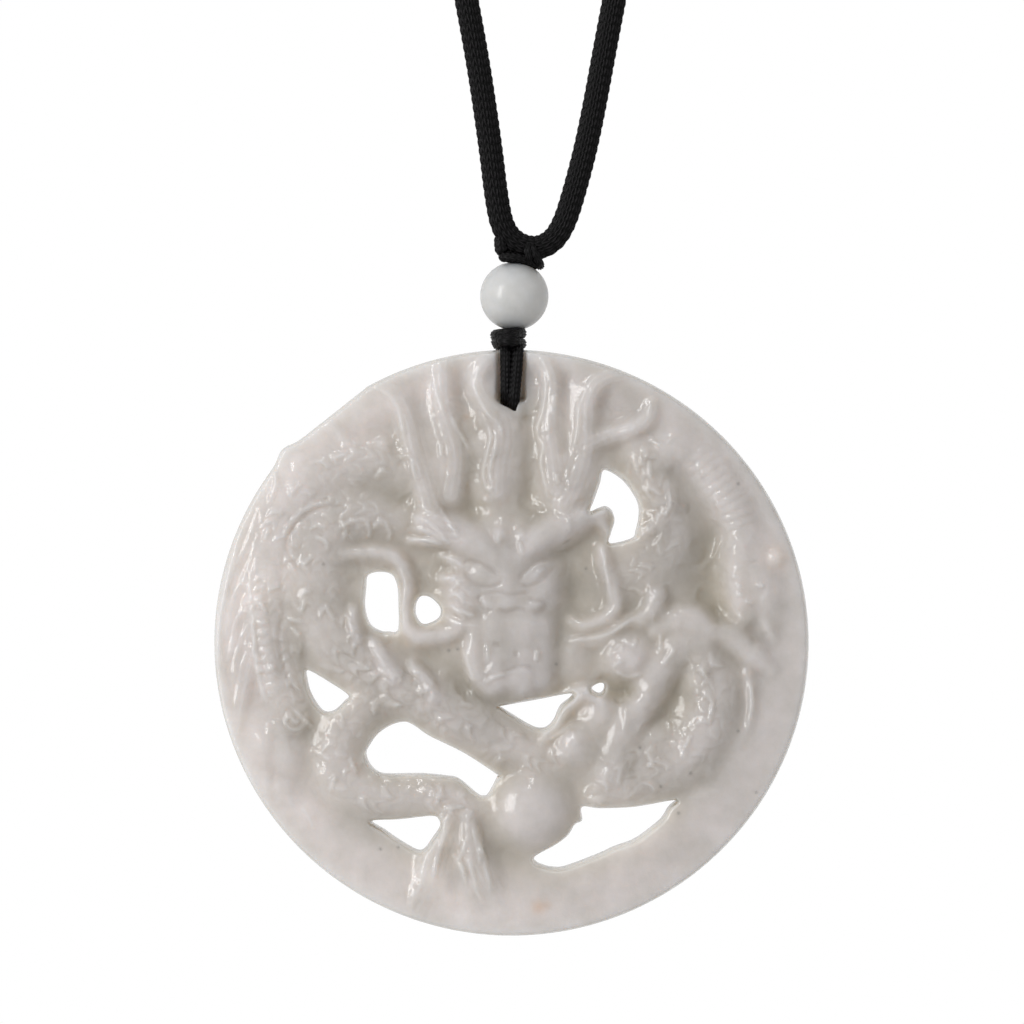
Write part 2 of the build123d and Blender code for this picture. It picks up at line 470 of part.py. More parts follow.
def pressed(height):
    """A height drawn in towards the middle one, so that the whole relief is as shallow as the stone's."""
    return MIDDLE + DEPTH_SHARE * (height - MIDDLE)


def rim_start(u, v):
    """How far out the rim's flat band starts, by direction."""
    angles = [row.angle for row in RIM_ROWS]
    starts = [row.start for row in RIM_ROWS]
    return np.interp(np.degrees(np.arctan2(v, u)), angles, starts)


def carve_forms():
    """The carving's forms on an even grid: broad ones first, then the finer ones over them."""
    ticks = np.arange(-GRID_REACH, GRID_REACH + GRID_STEP / 2, GRID_STEP)
    u, v = np.meshgrid(ticks, ticks)
    t = np.clip((np.hypot(u, v) - rim_start(u, v) + RIM_SLOPE) / (2 * RIM_SLOPE), 0, 1)
    z = FLOOR + (RIM_CREST - FLOOR) * t * t * (3 - 2 * t)
    for mass in MASSES:
        add_ball(z, u, v, mass, MASS_KIND)
    for pit in PITS:
        sink_mark(z, u, v, pit)
    for coil in COILS:
        add_stroke(z, u, v, coil, COIL_KIND)
    for ball in BALLS:
        add_ball(z, u, v, ball, BALL_KIND)
    broad = softened(z, BROAD_MELT / GRID_STEP)
    z = broad.copy()
    for lock in LOCKS:
        add_stroke(z, u, v, lock, LOCK_KIND)
    for fan in FANS:
        for stroke in fan_strokes(fan):
            add_stroke(z, u, v, stroke, FAN_KIND)
    for brow in FACE:
        add_stroke(z, u, v, brow, FACE_KIND)
    for ball in FEATURES:
        add_ball(z, u, v, ball, FEATURE_KIND)
    for pit in HOLLOWS:
        sink_mark(z, u, v, pit)
    return pressed(softened(broad + FINE_SHARE * (z - broad), FINE_MELT / GRID_STEP))


def read_grid(grid, u, v):
    """Heights between the grid's places."""
    column, row = (u + GRID_REACH) / GRID_STEP, (v + GRID_REACH) / GRID_STEP
    i, j = np.floor(row).astype(int), np.floor(column).astype(int)
    a, b = row - i, column - j
    low = grid[i, j] * (1 - b) + grid[i, j + 1] * b
    high = grid[i + 1, j] * (1 - b) + grid[i + 1, j + 1] * b
    return low * (1 - a) + high * a


def rounded_edge(height, room, least, reach):
    """Heights eased down towards an edge, where room is the distance to it."""
    cap = least + (1 - least) * (1 - (1 - np.clip(room / reach, 0, 1)) ** 2) ** EDGE_CURVE
    return -smooth_max(-height, -cap, EDGE_MELT)


def polygon_distance(u, v, curve):
    """Distance to a closed curve, positive inside it."""
    ring = np.vstack([curve, curve[:1]])
    far, _, _, _ = nearest(u, v, ring)
    inside = np.zeros(u.shape, bool)
    for a, b in zip(ring, ring[1:]):
        if a[1] != b[1]:
            crossing = (b[0] - a[0]) * (v - a[1]) / (b[1] - a[1]) + a[0]
            inside ^= ((a[1] > v) != (b[1] > v)) & (u < crossing)
    return np.where(inside, far, -far)


def edge_radius(angle):
    """How far the outline is at an angle in degrees: nearly round, with a flat and a corner."""
    turn = np.radians(angle)
    round_edge = 100 / np.hypot(np.cos(turn), np.sin(turn) / DISC_HEIGHT_RATIO)
    flat = FLAT_AT / np.clip(np.cos(turn - math.radians(FLAT_ANGLE)), 0.5, 1)
    return np.minimum(round_edge, flat) + CORNER_RISE * np.exp(-((angle - CORNER_ANGLE) / CORNER_SPREAD) ** 2)


def outline_distance(u, v):
    """How far a place is inside the outline."""
    return edge_radius(np.degrees(np.arctan2(v, u))) - np.hypot(u, v)


def hole_distance(u, v, curves):
    """How far a place is outside the nearest hole, counted up to a few hundredths."""
    room = np.full(u.shape, HOLE_REACH)
    for curve in curves:
        near = around(u, v, curve, HOLE_REACH)
        room[near] = np.minimum(room[near], -polygon_distance(u[near], v[near], curve))
    return room


def strand_seat(height, u, v):
    """Heights kept low where the strands lie over the bridge above their hole."""
    cap = SEAT_HIGH + SEAT_SLOPE * (np.clip(np.abs(u) - SEAT_HALF, 0, None) + np.clip(SEAT_LOW - v, 0, None))
    return -smooth_max(-height, -cap, EDGE_MELT)


def relief(forms, u, v, inner, outer):
    """Height of the front, as a share of the thickness, with edges rounded at the outline and the holes."""
    z = strand_seat(read_grid(forms, u, v), u, v)
    z = rounded_edge(z, outer, OUTER_LEAST, OUTER_REACH)
    return rounded_edge(z, inner, INNER_LEAST, INNER_REACH)


def even_steps(curve, step):
    """Points evenly spaced along a closed curve."""
    ring = np.vstack([curve, curve[:1]])
    runs = np.concatenate([[0], np.cumsum(np.hypot(*np.diff(ring, axis=0).T))])
    count = max(8, round(runs[-1] / step))
    at = np.linspace(0, runs[-1], count, endpoint=False)
    return np.column_stack([np.interp(at, runs, ring[:, 0]), np.interp(at, runs, ring[:, 1])])


def flat_mesh(step, hole_rings, outline):
    """Triangles that fill the outline between its holes."""
    count = int(GRID_REACH / step / ROW_RISE)
    i, j = np.meshgrid(np.arange(-count, count + 1), np.arange(-count, count + 1))
    u = ((i + 0.5 * (j % 2)) * step).ravel()
    v = (j * step * ROW_RISE).ravel()
    near = np.hypot(u, v) < GRID_REACH - 2 * GRID_STEP
    u, v = u[near], v[near]
    room = np.minimum(outline_distance(u, v), hole_distance(u, v, hole_rings))
    kept = room > INNER_ROOM * step
    places = np.vstack([outline] + hole_rings + [np.column_stack([u[kept], v[kept]])])
    triangles = Delaunay(places).simplices
    a, b, c = (places[triangles[:, k]] for k in range(3))
    middle = (a + b + c) / 3
    inside = np.minimum(polygon_distance(*middle.T, outline), hole_distance(*middle.T, hole_rings)) > 0
    area = np.abs((b[:, 0] - a[:, 0]) * (c[:, 1] - a[:, 1]) - (b[:, 1] - a[:, 1]) * (c[:, 0] - a[:, 0]))
    return places, triangles[inside & (area > LEAST_AREA)]


def carved_disc():
    """The stone: its carved front, its edge, the walls of its holes and its flat back."""
    step = CARVING_STEP / SHARE
    angles = np.linspace(-180, 180, round(2 * math.pi * 100 / step), endpoint=False)
    reach = edge_radius(angles)
    outline = np.column_stack([reach * np.cos(np.radians(angles)), reach * np.sin(np.radians(angles))])
    rings = [even_steps(smooth_path(points, closed=True), step) for points in HOLES.values()]
    places, triangles = flat_mesh(step, rings, outline)
    u, v = places.T
    inner = np.clip(hole_distance(u, v, rings), 0, None)
    outer = np.clip(outline_distance(u, v), 0, None)
    height = relief(carve_forms(), u, v, inner, outer) * DISC_THICKNESS
    front = [Vector(a * SHARE, BACK_Y - h, DISC_Z + b * SHARE) for a, b, h in zip(u, v, height)]
    faces = [Face(Wire.make_polygon([front[k] for k in t])) for t in triangles]
    back_wires = []
    first = 0
    for ring in [outline] + rings:
        size = len(ring)
        edge = front[first:first + size]
        first += size
        bevel = BACK_BEVEL if ring is outline else 0.0
        waist = [Vector(p.X, BACK_Y - bevel, p.Z) for p in edge]
        share = 1 - bevel / DISC_RADIUS
        back = [Vector(p.X * share, BACK_Y, DISC_Z + (p.Z - DISC_Z) * share) for p in edge]
        for k in range(size):
            n = (k + 1) % size
            faces.append(Face(Wire.make_polygon([edge[k], edge[n], waist[n], waist[k]])))
            if bevel:
                faces.append(Face(Wire.make_polygon([waist[k], waist[n], back[n]])))
                faces.append(Face(Wire.make_polygon([waist[k], back[n], back[k]])))
        back_wires.append(Wire.make_polygon(back))
    faces.append(Face(back_wires[0], back_wires[1:]))
    print("disc faces", len(faces))
    return Solid(Shell(faces))


# The loop strands go round the stone's bridge, between its top edge and the cord hole.
THIN_RADIUS = THIN_CORD_DIAMETER / 2
BRIDGE_LOW = 84.0
LOOP_TOP = KNOT_BOTTOM + THIN_RADIUS
LOOP_BOTTOM = DISC_Z + BRIDGE_LOW * SHARE - CLEARANCE - THIN_RADIUS
LOOP_HALF_DEPTH = 2.65
LOOP_CORNER = 1.25
STRAND_OFFSET = THIN_RADIUS + SMALL_GAP / 2


def loop_strand(side):
    """One thin cord: a closed loop with rounded corners, in a plane across the pendant."""
    x = side * STRAND_OFFSET
    corners = [(x, BRIDGE_Y - LOOP_HALF_DEPTH, LOOP_BOTTOM), (x, BRIDGE_Y + LOOP_HALF_DEPTH, LOOP_BOTTOM),
               (x, BRIDGE_Y + LOOP_HALF_DEPTH, LOOP_TOP), (x, BRIDGE_Y - LOOP_HALF_DEPTH, LOOP_TOP)]
    path = FilletPolyline(*corners, radius=LOOP_CORNER, close=True)
    start = path @ 0
    section = Plane(origin=start, z_dir=path % 0) * Circle(THIN_RADIUS)
    return sweep(section, path=path)


# The lower knot is wound round both strands where they close.
BEAD_Z = DISC_TOP + 4.80
BEAD_RADIUS = BEAD_DIAMETER / 2
BORE_END = math.sqrt(BEAD_RADIUS ** 2 - (BORE_DIAMETER / 2) ** 2)
KNOT_TOP = DISC_TOP + 2.05
KNOT_TURNS = 2
LEAN = 0.25


def lower_knot():
    """A short wound barrel: rounded turns under the bead, with a way across it for each strand."""
    height = KNOT_TOP - KNOT_BOTTOM
    minor = height / KNOT_TURNS / 2
    body = Pos(0, BRIDGE_Y, KNOT_BOTTOM + height / 2) * Cylinder(KNOT_DIAMETER / 2 - minor, height)
    for k in range(KNOT_TURNS):
        level = KNOT_BOTTOM + minor * (2 * k + 1)
        body += Pos(0, BRIDGE_Y, level) * Torus(KNOT_DIAMETER / 2 - minor, minor)
    for side in (-1, 1):
        way = Rot(90, 0, 0) * Cylinder(THIN_RADIUS + SMALL_GAP, 2 * KNOT_DIAMETER)
        body -= Pos(side * STRAND_OFFSET, BRIDGE_Y, LOOP_TOP) * way
    slot = Box(2 * STRAND_OFFSET, 2 * KNOT_DIAMETER, THIN_CORD_DIAMETER)
    body -= Pos(0, BRIDGE_Y, LOOP_TOP - THIN_RADIUS) * slot
    return body - Pos(LEAN, BRIDGE_Y, BEAD_Z) * Sphere(BEAD_RADIUS + SMALL_GAP)


def bead():
    ball_shape = Pos(LEAN, BRIDGE_Y, BEAD_Z) * Sphere(BEAD_RADIUS)
    return ball_shape - Pos(LEAN, BRIDGE_Y, BEAD_Z) * Cylinder(BORE_DIAMETER / 2, 2 * BEAD_RADIUS)


def bead_thread():
    """The thin cord in the bore, from the lower knot to the hitch."""
    return Pos(LEAN, BRIDGE_Y, BEAD_Z) * Cylinder(THREAD_DIAMETER / 2, 2 * BORE_END)


# The neck cord's route, from one side of the nape knot down to the fold over the bead and back up.
HALF_KNOT = NAPE_KNOT_LENGTH / 2
NAPE_AXIS = NAPE_KNOT_DIAMETER / 2
SLEEVE_ROUND = 0.2
ROUTE = [
    (-HALF_KNOT, NAPE_AXIS, 0.0),
    (-19.0, NAPE_AXIS, 0.0),
    (-38.0, -9.0, -5.0),
    (-53.5, -33.0, -14.5),
    (-58.5, -64.2, -30.0),
    (-54.0, -91.2, -51.5),
    (-44.0, -106.7, -81.0),
    (-32.0, -110.2, -116.0),
    (-21.5, -111.0, -152.0),
    (-13.2, -111.25, -185.0),
    (-7.2, -111.25, -212.0),
    (-3.4, -111.25, -230.5),
    (-1.9, -111.25, -240.5),
    (-1.35, -111.25, -245.4),
    (-0.75, -111.25, -248.3),
    (0.75, -111.25, -249.7),
    (2.75, -111.25, -249.9),
    (4.5, -111.25, -248.4),
    (5.85, -111.25, -244.0),
    (7.05, -111.25, -239.1),
    (8.7, -111.25, -230.0),
    (12.2, -111.25, -212.0),
    (18.0, -111.25, -185.0),
    (25.6, -111.0, -152.0),
    (34.5, -110.2, -116.0),
    (45.0, -106.7, -81.0),
    (54.0, -91.2, -51.5),
    (58.5, -64.2, -30.0),
    (53.5, -33.0, -14.5),
    (38.0, -9.0, -5.0),
    (19.0, NAPE_AXIS, 0.0),
    (HALF_KNOT, NAPE_AXIS, 0.0),
]
ARC_SHARE = 0.45


def cord_path(points):
    """Straight runs joined by arcs as large as the runs beside them allow."""
    spots = [Vector(*p) for p in points]
    radii = []
    for before, at, after in zip(spots, spots[1:], spots[2:]):
        turn = math.radians((at - before).get_angle(after - at))
        run = min((at - before).length, (after - at).length)
        radii.append(ARC_SHARE * run / math.tan(turn / 2))
    print("neck cord arc radii", [round(r, 2) for r in radii])
    return FilletPolyline(*spots, radius=radii)


def neck_cord(path):
    section = Plane(origin=path @ 0, z_dir=path % 0) * Circle(NECK_CORD_DIAMETER / 2)
    tube = sweep(section, path=path)
    expected = math.pi * (NECK_CORD_DIAMETER / 2) ** 2 * path.length
    print("neck cord length", round(path.length, 1))
    print("neck cord volume", round(tube.volume, 1), "expected", round(expected, 1))
    return tube


# The hitch: two turns of thin cord round the fold, the lump between them, and a stub into the bead.
WRAP_RADIUS = 0.45
STUB_RISE = 0.15
WRAP_PLACES = (-0.2, 2.6)
FOLD_STRETCH = (0.46, 0.54)
FOLD_RUNS = slice(10, 23)
WAYS = 600
LUMP_RADIUS = 1.1
LUMP_LEFT = (-0.55, 0.75)
LUMP_RIGHT = (1.75, -0.15)


def lump():
    """A short rounded bar that leans the way the turns do, over the bead's top."""
    top = BEAD_Z + BEAD_RADIUS
    left = Vector(LUMP_LEFT[0], BRIDGE_Y, top + LUMP_LEFT[1])
    right = Vector(LUMP_RIGHT[0], BRIDGE_Y, top + LUMP_RIGHT[1])
    bar = Cylinder(LUMP_RADIUS, (right - left).length)
    bar += Pos(0, 0, (right - left).length / 2) * Sphere(LUMP_RADIUS)
    bar += Pos(0, 0, -(right - left).length / 2) * Sphere(LUMP_RADIUS)
    return Plane(origin=(left + right) / 2, z_dir=right - left) * bar


def hitch(path):
    """The turns meet in a lump under the fold; all keep clear of the neck cord and the bead."""
    ways = [FOLD_STRETCH[0] + (FOLD_STRETCH[1] - FOLD_STRETCH[0]) * k / WAYS for k in range(WAYS + 1)]
    reach = NECK_CORD_DIAMETER / 2 + SMALL_GAP + WRAP_RADIUS
    fold = cord_path(ROUTE[FOLD_RUNS])
    knot = lump()
    room = Circle(NECK_CORD_DIAMETER / 2 + SMALL_GAP / 2)
    knot -= sweep(Plane(origin=fold @ 0, z_dir=fold % 0) * room, path=fold)
    for x in WRAP_PLACES:
        at = min(ways, key=lambda way: abs((path @ way).X - x))
        knot += Plane(origin=path @ at, z_dir=path % at) * Torus(reach, WRAP_RADIUS)
    knot -= Pos(LEAN, BRIDGE_Y, BEAD_Z) * Sphere(BEAD_RADIUS + SMALL_GAP)
    low = BEAD_Z + BORE_END + SMALL_GAP
    high = BEAD_Z + BEAD_RADIUS + STUB_RISE
    knot += Pos(LEAN, BRIDGE_Y, (low + high) / 2) * Cylinder(THREAD_DIAMETER / 2, high - low)
    return knot


def nape_knot():
    """The plain join at the nape: a rounded sleeve that the cord's two ends meet."""
    sleeve = Rot(0, 90, 0) * Cylinder(NAPE_KNOT_DIAMETER / 2, NAPE_KNOT_LENGTH)
    sleeve = fillet(sleeve.edges(), NAPE_KNOT_DIAMETER * SLEEVE_ROUND)
    return Pos(0, NAPE_AXIS, 0) * sleeve


def main():
    export_step(carved_disc(), "parts/jade_disc.step")
    for side, name in ((-1, "left"), (1, "right")):
        export_step(loop_strand(side), f"parts/loop_strand_{name}.step")
    export_step(lower_knot(), "parts/lower_knot.step")
    export_step(bead(), "parts/bead.step")
    export_step(bead_thread(), "parts/bead_thread.step")
    path = cord_path(ROUTE)
    export_step(neck_cord(path), "parts/neck_cord.step")
    export_step(hitch(path), "parts/hitch.step")
    export_step(nape_knot(), "parts/nape_knot.step")


main()
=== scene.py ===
import math
from collections import namedtuple
import bpy
import numpy as np
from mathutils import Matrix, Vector
from mathutils.geometry import delaunay_2d_cdt


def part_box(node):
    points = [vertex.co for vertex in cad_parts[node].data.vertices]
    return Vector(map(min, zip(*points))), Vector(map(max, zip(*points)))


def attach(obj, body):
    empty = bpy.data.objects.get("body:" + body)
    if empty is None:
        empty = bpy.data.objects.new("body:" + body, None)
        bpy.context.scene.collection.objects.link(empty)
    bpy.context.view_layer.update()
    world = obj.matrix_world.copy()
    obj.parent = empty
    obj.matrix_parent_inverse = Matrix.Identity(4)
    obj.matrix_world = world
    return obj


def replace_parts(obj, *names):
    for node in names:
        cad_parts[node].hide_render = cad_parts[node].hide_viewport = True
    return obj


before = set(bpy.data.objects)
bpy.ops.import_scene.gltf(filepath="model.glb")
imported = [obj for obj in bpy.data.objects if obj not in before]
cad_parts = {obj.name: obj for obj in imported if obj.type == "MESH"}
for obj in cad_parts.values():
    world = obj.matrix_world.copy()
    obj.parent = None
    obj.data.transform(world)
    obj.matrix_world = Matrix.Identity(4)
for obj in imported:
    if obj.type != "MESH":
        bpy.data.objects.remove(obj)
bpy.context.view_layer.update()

# Jade dragon pendant, in metres, in the model's own frame: front to -Y, +Z up.
MM = 0.001

# Places and sizes read from the frame
DISC_LOW, DISC_HIGH = (Vector(corner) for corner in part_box("jade_disc"))
BEAD_LOW, BEAD_HIGH = (Vector(corner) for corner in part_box("bead"))
KNOT_LOW, KNOT_HIGH = (Vector(corner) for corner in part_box("lower_knot"))
LOOP_LOW, LOOP_HIGH = (Vector(corner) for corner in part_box("loop_strand_left"))
SLEEVE_LOW, SLEEVE_HIGH = (Vector(corner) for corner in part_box("nape_knot"))

# The disc, as the solid has it
DISC_HEIGHT_RATIO = 0.986
DISC_THICKNESS = 8.0 * MM
BACK_BEVEL = 0.6 * MM
DISC_RADIUS = (DISC_HIGH.z - DISC_LOW.z) / 2 / DISC_HEIGHT_RATIO
DISC_Z = (DISC_HIGH.z + DISC_LOW.z) / 2
BACK_Y = DISC_HIGH.y
SHARE = DISC_RADIUS / 100
CARVING_STEP = 0.155 * MM
LEAST_AREA = 1e-6

# The cords
NECK_CORD_DIAMETER = 2.2 * MM
THIN_CORD_DIAMETER = 1.0 * MM
BRIDGE_Y = (LOOP_LOW.y + LOOP_HIGH.y) / 2

# The photograph's frame: 1024 pixels wide, its scale and where the disc's centre lies in it
FRAME_PIXELS = 1024
PIXEL = 0.08915 * MM
DISC_PIXEL_X = 511.5
DISC_PIXEL_Y = 642.5
CAMERA_DISTANCE = 0.55


def new_object(name, data):
    piece = bpy.data.objects.new(name, data)
    bpy.context.scene.collection.objects.link(piece)
    return piece


def make_camera():
    width = FRAME_PIXELS * PIXEL
    data = bpy.data.cameras.new("camera")
    data.sensor_width = 36
    data.lens = data.sensor_width * CAMERA_DISTANCE / width
    data.clip_end = 50
    camera = new_object("camera", data)
    x = (FRAME_PIXELS / 2 - DISC_PIXEL_X) * PIXEL
    z = DISC_Z + (DISC_PIXEL_Y - FRAME_PIXELS / 2) * PIXEL
    camera.location = (x, BRIDGE_Y - CAMERA_DISTANCE, z)
    camera.rotation_euler = (math.pi / 2, 0, 0)
    bpy.context.scene.camera = camera


# The neck cord's route, from the nape knot down to the fold over the bead and back up
ROUTE = [
    (-0.006, 0.00275, 0.0),
    (-0.019, 0.00275, 0.0),
    (-0.038, -0.009, -0.005),
    (-0.0535, -0.033, -0.0145),
    (-0.0585, -0.0642, -0.03),
    (-0.054, -0.0912, -0.0515),
    (-0.044, -0.1067, -0.081),
    (-0.032, -0.1102, -0.116),
    (-0.0215, -0.111, -0.152),
    (-0.0132, -0.11125, -0.185),
    (-0.0072, -0.11125, -0.212),
    (-0.0034, -0.11125, -0.2305),
    (-0.0019, -0.11125, -0.2405),
    (-0.00135, -0.11125, -0.2454),
    (-0.00075, -0.11125, -0.2483),
    (0.00075, -0.11125, -0.2497),
    (0.00275, -0.11125, -0.2499),
    (0.0045, -0.11125, -0.2484),
    (0.00585, -0.11125, -0.244),
    (0.00705, -0.11125, -0.2391),
    (0.0087, -0.11125, -0.23),
    (0.0122, -0.11125, -0.212),
    (0.018, -0.11125, -0.185),
    (0.0256, -0.111, -0.152),
    (0.0345, -0.1102, -0.116),
    (0.045, -0.1067, -0.081),
    (0.054, -0.0912, -0.0515),
    (0.0585, -0.0642, -0.03),
    (0.0535, -0.033, -0.0145),
    (0.038, -0.009, -0.005),
    (0.019, 0.00275, 0.0),
    (0.006, 0.00275, 0.0),
]


# The carving, in hundredths of the disc's radius across it and shares of its thickness up from the back.
FLOOR = 0.42
GROUND_SINK = 0.30
RIM_CREST = 0.54
RIM_SLOPE = 8.0
EDGE_MELT = 0.02
EDGE_CURVE = 0.75
GRID_REACH = 108.0
GRID_STEP = 0.5
BROAD_MELT = 2.2
FINE_MELT = 1.05
FINE_SHARE = 0.80
MIDDLE = 0.60
DEPTH_SHARE = 0.53
FLAT_AT = 97.7
FLAT_ANGLE = 128.3
CORNER_RISE = 1.5
CORNER_ANGLE = 140.0
CORNER_SPREAD = 2.2
HOLE_REACH = 9.0
MARK_REACH = 2.5
ROW_RISE = math.sqrt(0.75)
OUTER_LEAST = 0.30
OUTER_REACH = 7.0
INNER_LEAST = 0.24
INNER_REACH = 5.0

# Where the strands lie over the stone's bridge
SEAT_HIGH = 0.395
SEAT_SLOPE = 0.12
SEAT_HALF = 4.1
SEAT_LOW = 82.0

# How flat a kind of form is on top, and how far it melts into what lies round it
Kind = namedtuple("Kind", "crown melt")
MASS_KIND = Kind(0.7, 0.06)
COIL_KIND = Kind(0.45, 0.05)
BALL_KIND = Kind(0.6, 0.05)
LOCK_KIND = Kind(0.5, 0.05)
FAN_KIND = Kind(0.8, 0.03)
FACE_KIND = Kind(0.6, 0.04)
FEATURE_KIND = Kind(0.7, 0.03)

# Broad ground: oval domes at u, v with their half sizes, turn and height
Ball = namedtuple("Ball", "name u v long wide turn high")
MASSES = [
    Ball("crest_left", -26, 62, 14, 28, 0, 0.665),
    Ball("crest_middle", -4, 67, 16, 31, 0, 0.69),
    Ball("crest_right", 19, 62, 17, 29, 0, 0.7),
    Ball("left_arch", -58, 52, 26, 22, 30, 0.56),
    Ball("left_side", -60, 14, 20, 26, 0, 0.52),
    Ball("neck_mass", 45, 26, 19, 19, 0, 0.56),
    Ball("tuft_mass", -18, -74, 16, 23, 0, 0.655),
    Ball("paw_left", -79, -33, 12, 14, 0, 0.62),
    Ball("hand_mass", 28, -38, 15, 13, 30, 0.68),
    Ball("shoulder", 60, 1, 13, 9, 0, 0.66),
    Ball("throat", -16, -4, 16, 12, 0, 0.54),
    Ball("right_strips", 81, 24, 13, 28, 0, 0.58),
    Ball("upper_left", -52, 76, 20, 12, 40, 0.56),
    Ball("jaw_side", 20, -4, 9, 13, 0, 0.6),
]

# The body: bars along paths, with half widths and crest heights spread evenly along each
Lock = namedtuple("Lock", "name path wide high")
COILS = [
    Lock("left_coil", ((-37, 57), (-50, 61), (-64, 57), (-75, 46), (-81, 31), (-82, 15), (-80, 0),
         (-76, -14), (-72, -25)), (7, 9, 10.5, 10.5, 9.5, 9, 9, 8, 6),
         (0.63, 0.66, 0.67, 0.67, 0.67, 0.66, 0.64, 0.6, 0.54)),
    Lock("inner_body", ((-38, 41), (-49, 43), (-60, 40), (-66, 31), (-67, 19), (-64, 7), (-57, -2),
         (-46, -9), (-34, -16)), (6, 9, 11.5, 12.5, 12.5, 12, 11, 10, 9.5),
         (0.6, 0.66, 0.69, 0.7, 0.69, 0.68, 0.7, 0.71, 0.68)),
    Lock("crossing", ((-36, -15), (-21, -23), (-8, -30), (4, -36), (16, -41)), (10, 10, 9.5, 8, 6),
         (0.68, 0.66, 0.64, 0.62, 0.58)),
    Lock("tail_bend", ((-42, -16), (-53, -24), (-59, -35), (-57, -46), (-46, -52), (-33, -52),
         (-21, -52.5), (-12, -56)), (8, 8.5, 8.6, 8.6, 8, 7.6, 7, 5),
         (0.62, 0.64, 0.67, 0.68, 0.68, 0.66, 0.66, 0.64)),
    Lock("right_coil", ((64, -2), (68, -13), (67.5, -25), (61, -36), (52, -43), (40, -47.5), (28, -51)),
         (6, 9, 9.5, 9.5, 9, 7.5, 5.5), (0.66, 0.7, 0.71, 0.71, 0.69, 0.66, 0.6)),
    Lock("coil_foot", ((48, -31), (43, -38), (37, -46)), (7, 8.5, 7), (0.67, 0.69, 0.68)),
    Lock("coil_head", ((65, -3), (62, -9), (60.5, -13)), (5, 5.5, 4), (0.69, 0.71, 0.69)),
    Lock("neck", ((41, 67), (47, 57), (52, 46), (53, 35), (47, 24), (38, 18)), (5, 7, 8, 9, 9.5, 8),
         (0.6, 0.63, 0.64, 0.63, 0.61, 0.58)),
    Lock("belly_upper", ((61, 64), (68, 55), (74, 46), (77, 38)), (5.4, 7.2, 7.4, 6),
         (0.6, 0.65, 0.68, 0.67)),
    Lock("belly_inner", ((75, 34), (75.5, 26), (76.2, 16), (77, 7)), (4.6, 4.4, 4, 2.6),
         (0.66, 0.69, 0.69, 0.62)),
    Lock("belly_outer", ((80, 36), (82.5, 26), (85.5, 16), (88, 7)), (4.8, 5.2, 5, 3),
         (0.66, 0.68, 0.68, 0.6)),
    Lock("belly_left", ((-85, 20), (-84, 8), (-82.5, -3), (-81, -12), (-79.5, -21)),
         (2.4, 3, 3, 2.6, 1.5), (0.62, 0.73, 0.73, 0.7, 0.58)),
]

# Domes and ovals: the head, paws, knuckles and the pearl
BALLS = [
    Ball("head", -2.5, 24, 20.5, 23, 0, 0.87),
    Ball("cheek_right", 9.5, 18, 8.5, 13, 0, 0.82),
    Ball("cheek_left", -14, 17, 10.5, 13, 0, 0.82),
    Ball("muzzle", 0.5, 0, 15, 20, 0, 0.86),
    Ball("chin", 3, -12, 11.5, 8, 0, 0.9),
    Ball("joint", 53, 64.5, 9, 8, 20, 0.7),
    Ball("paw_right", 39.6, -4.5, 11, 10, -20, 0.8),
    Ball("knob", 20.8, -34, 7, 8.4, -20, 0.84),
    Ball("fist", 34, -42, 9.5, 5, 58, 0.82),
    Ball("hand", 30, -24, 9, 8, 30, 0.74),
    Ball("pearl", 7.4, -56.2, 15.6, 14.8, 0, 0.9),
    Ball("finger_1", -84.6, -35.5, 5, 12, 0, 0.6),
    Ball("finger_2", -74.5, -36, 6, 12, 0, 0.66),
]

# Broad hollows, sunk before the finer forms: half width and depth
Mark = namedtuple("Mark", "name path wide deep")
PITS = [
    Mark("pit_right", ((69, 42), (67.5, 31), (67, 21), (69, 12)), 5.2, 0.2),
    Mark("pit_right_low", ((63, 20), (66, 14), (70, 11)), 3.4, 0.08),
    Mark("pit_arch", ((-49, 54), (-42, 52.5), (-36, 47.5)), 3.0, 0.13),
    Mark("pit_arch_line", ((-56, 48.5), (-65, 46.5), (-72, 41), (-75.5, 34), (-76, 24), (-74, 10)),
         1.7, 0.02),
    Mark("pit_arch_top", ((-53, 71), (-48, 71.5), (-43, 72.5)), 3.2, 0.07),
    Mark("pit_bend", ((-68, -28), (-69, -40), (-65, -50), (-56, -60)), 2.6, 0.06),
    Mark("pit_side", ((-57, 22), (-55, 14), (-55, 8)), 4.0, 0.06),
    Mark("pit_forehead", ((-17, 50), (-14, 45), (-8, 41)), 2.4, 0.05),
    Mark("pit_tail_foot", ((-47, -62), (-38, -70), (-30, -76)), 3.0, 0.05),
    Mark("pit_pearl_foot", ((-4, -68), (2, -74), (12, -78)), 3.0, 0.05),
    Mark("pit_coil_edge", ((69, 3), (75, -9), (77.2, -18), (75.5, -27), (70, -37)), 1.5, 0.08),
    Mark("pit_wrist", ((26, -45), (29, -48), (34, -52)), 3.4, 0.07),
]

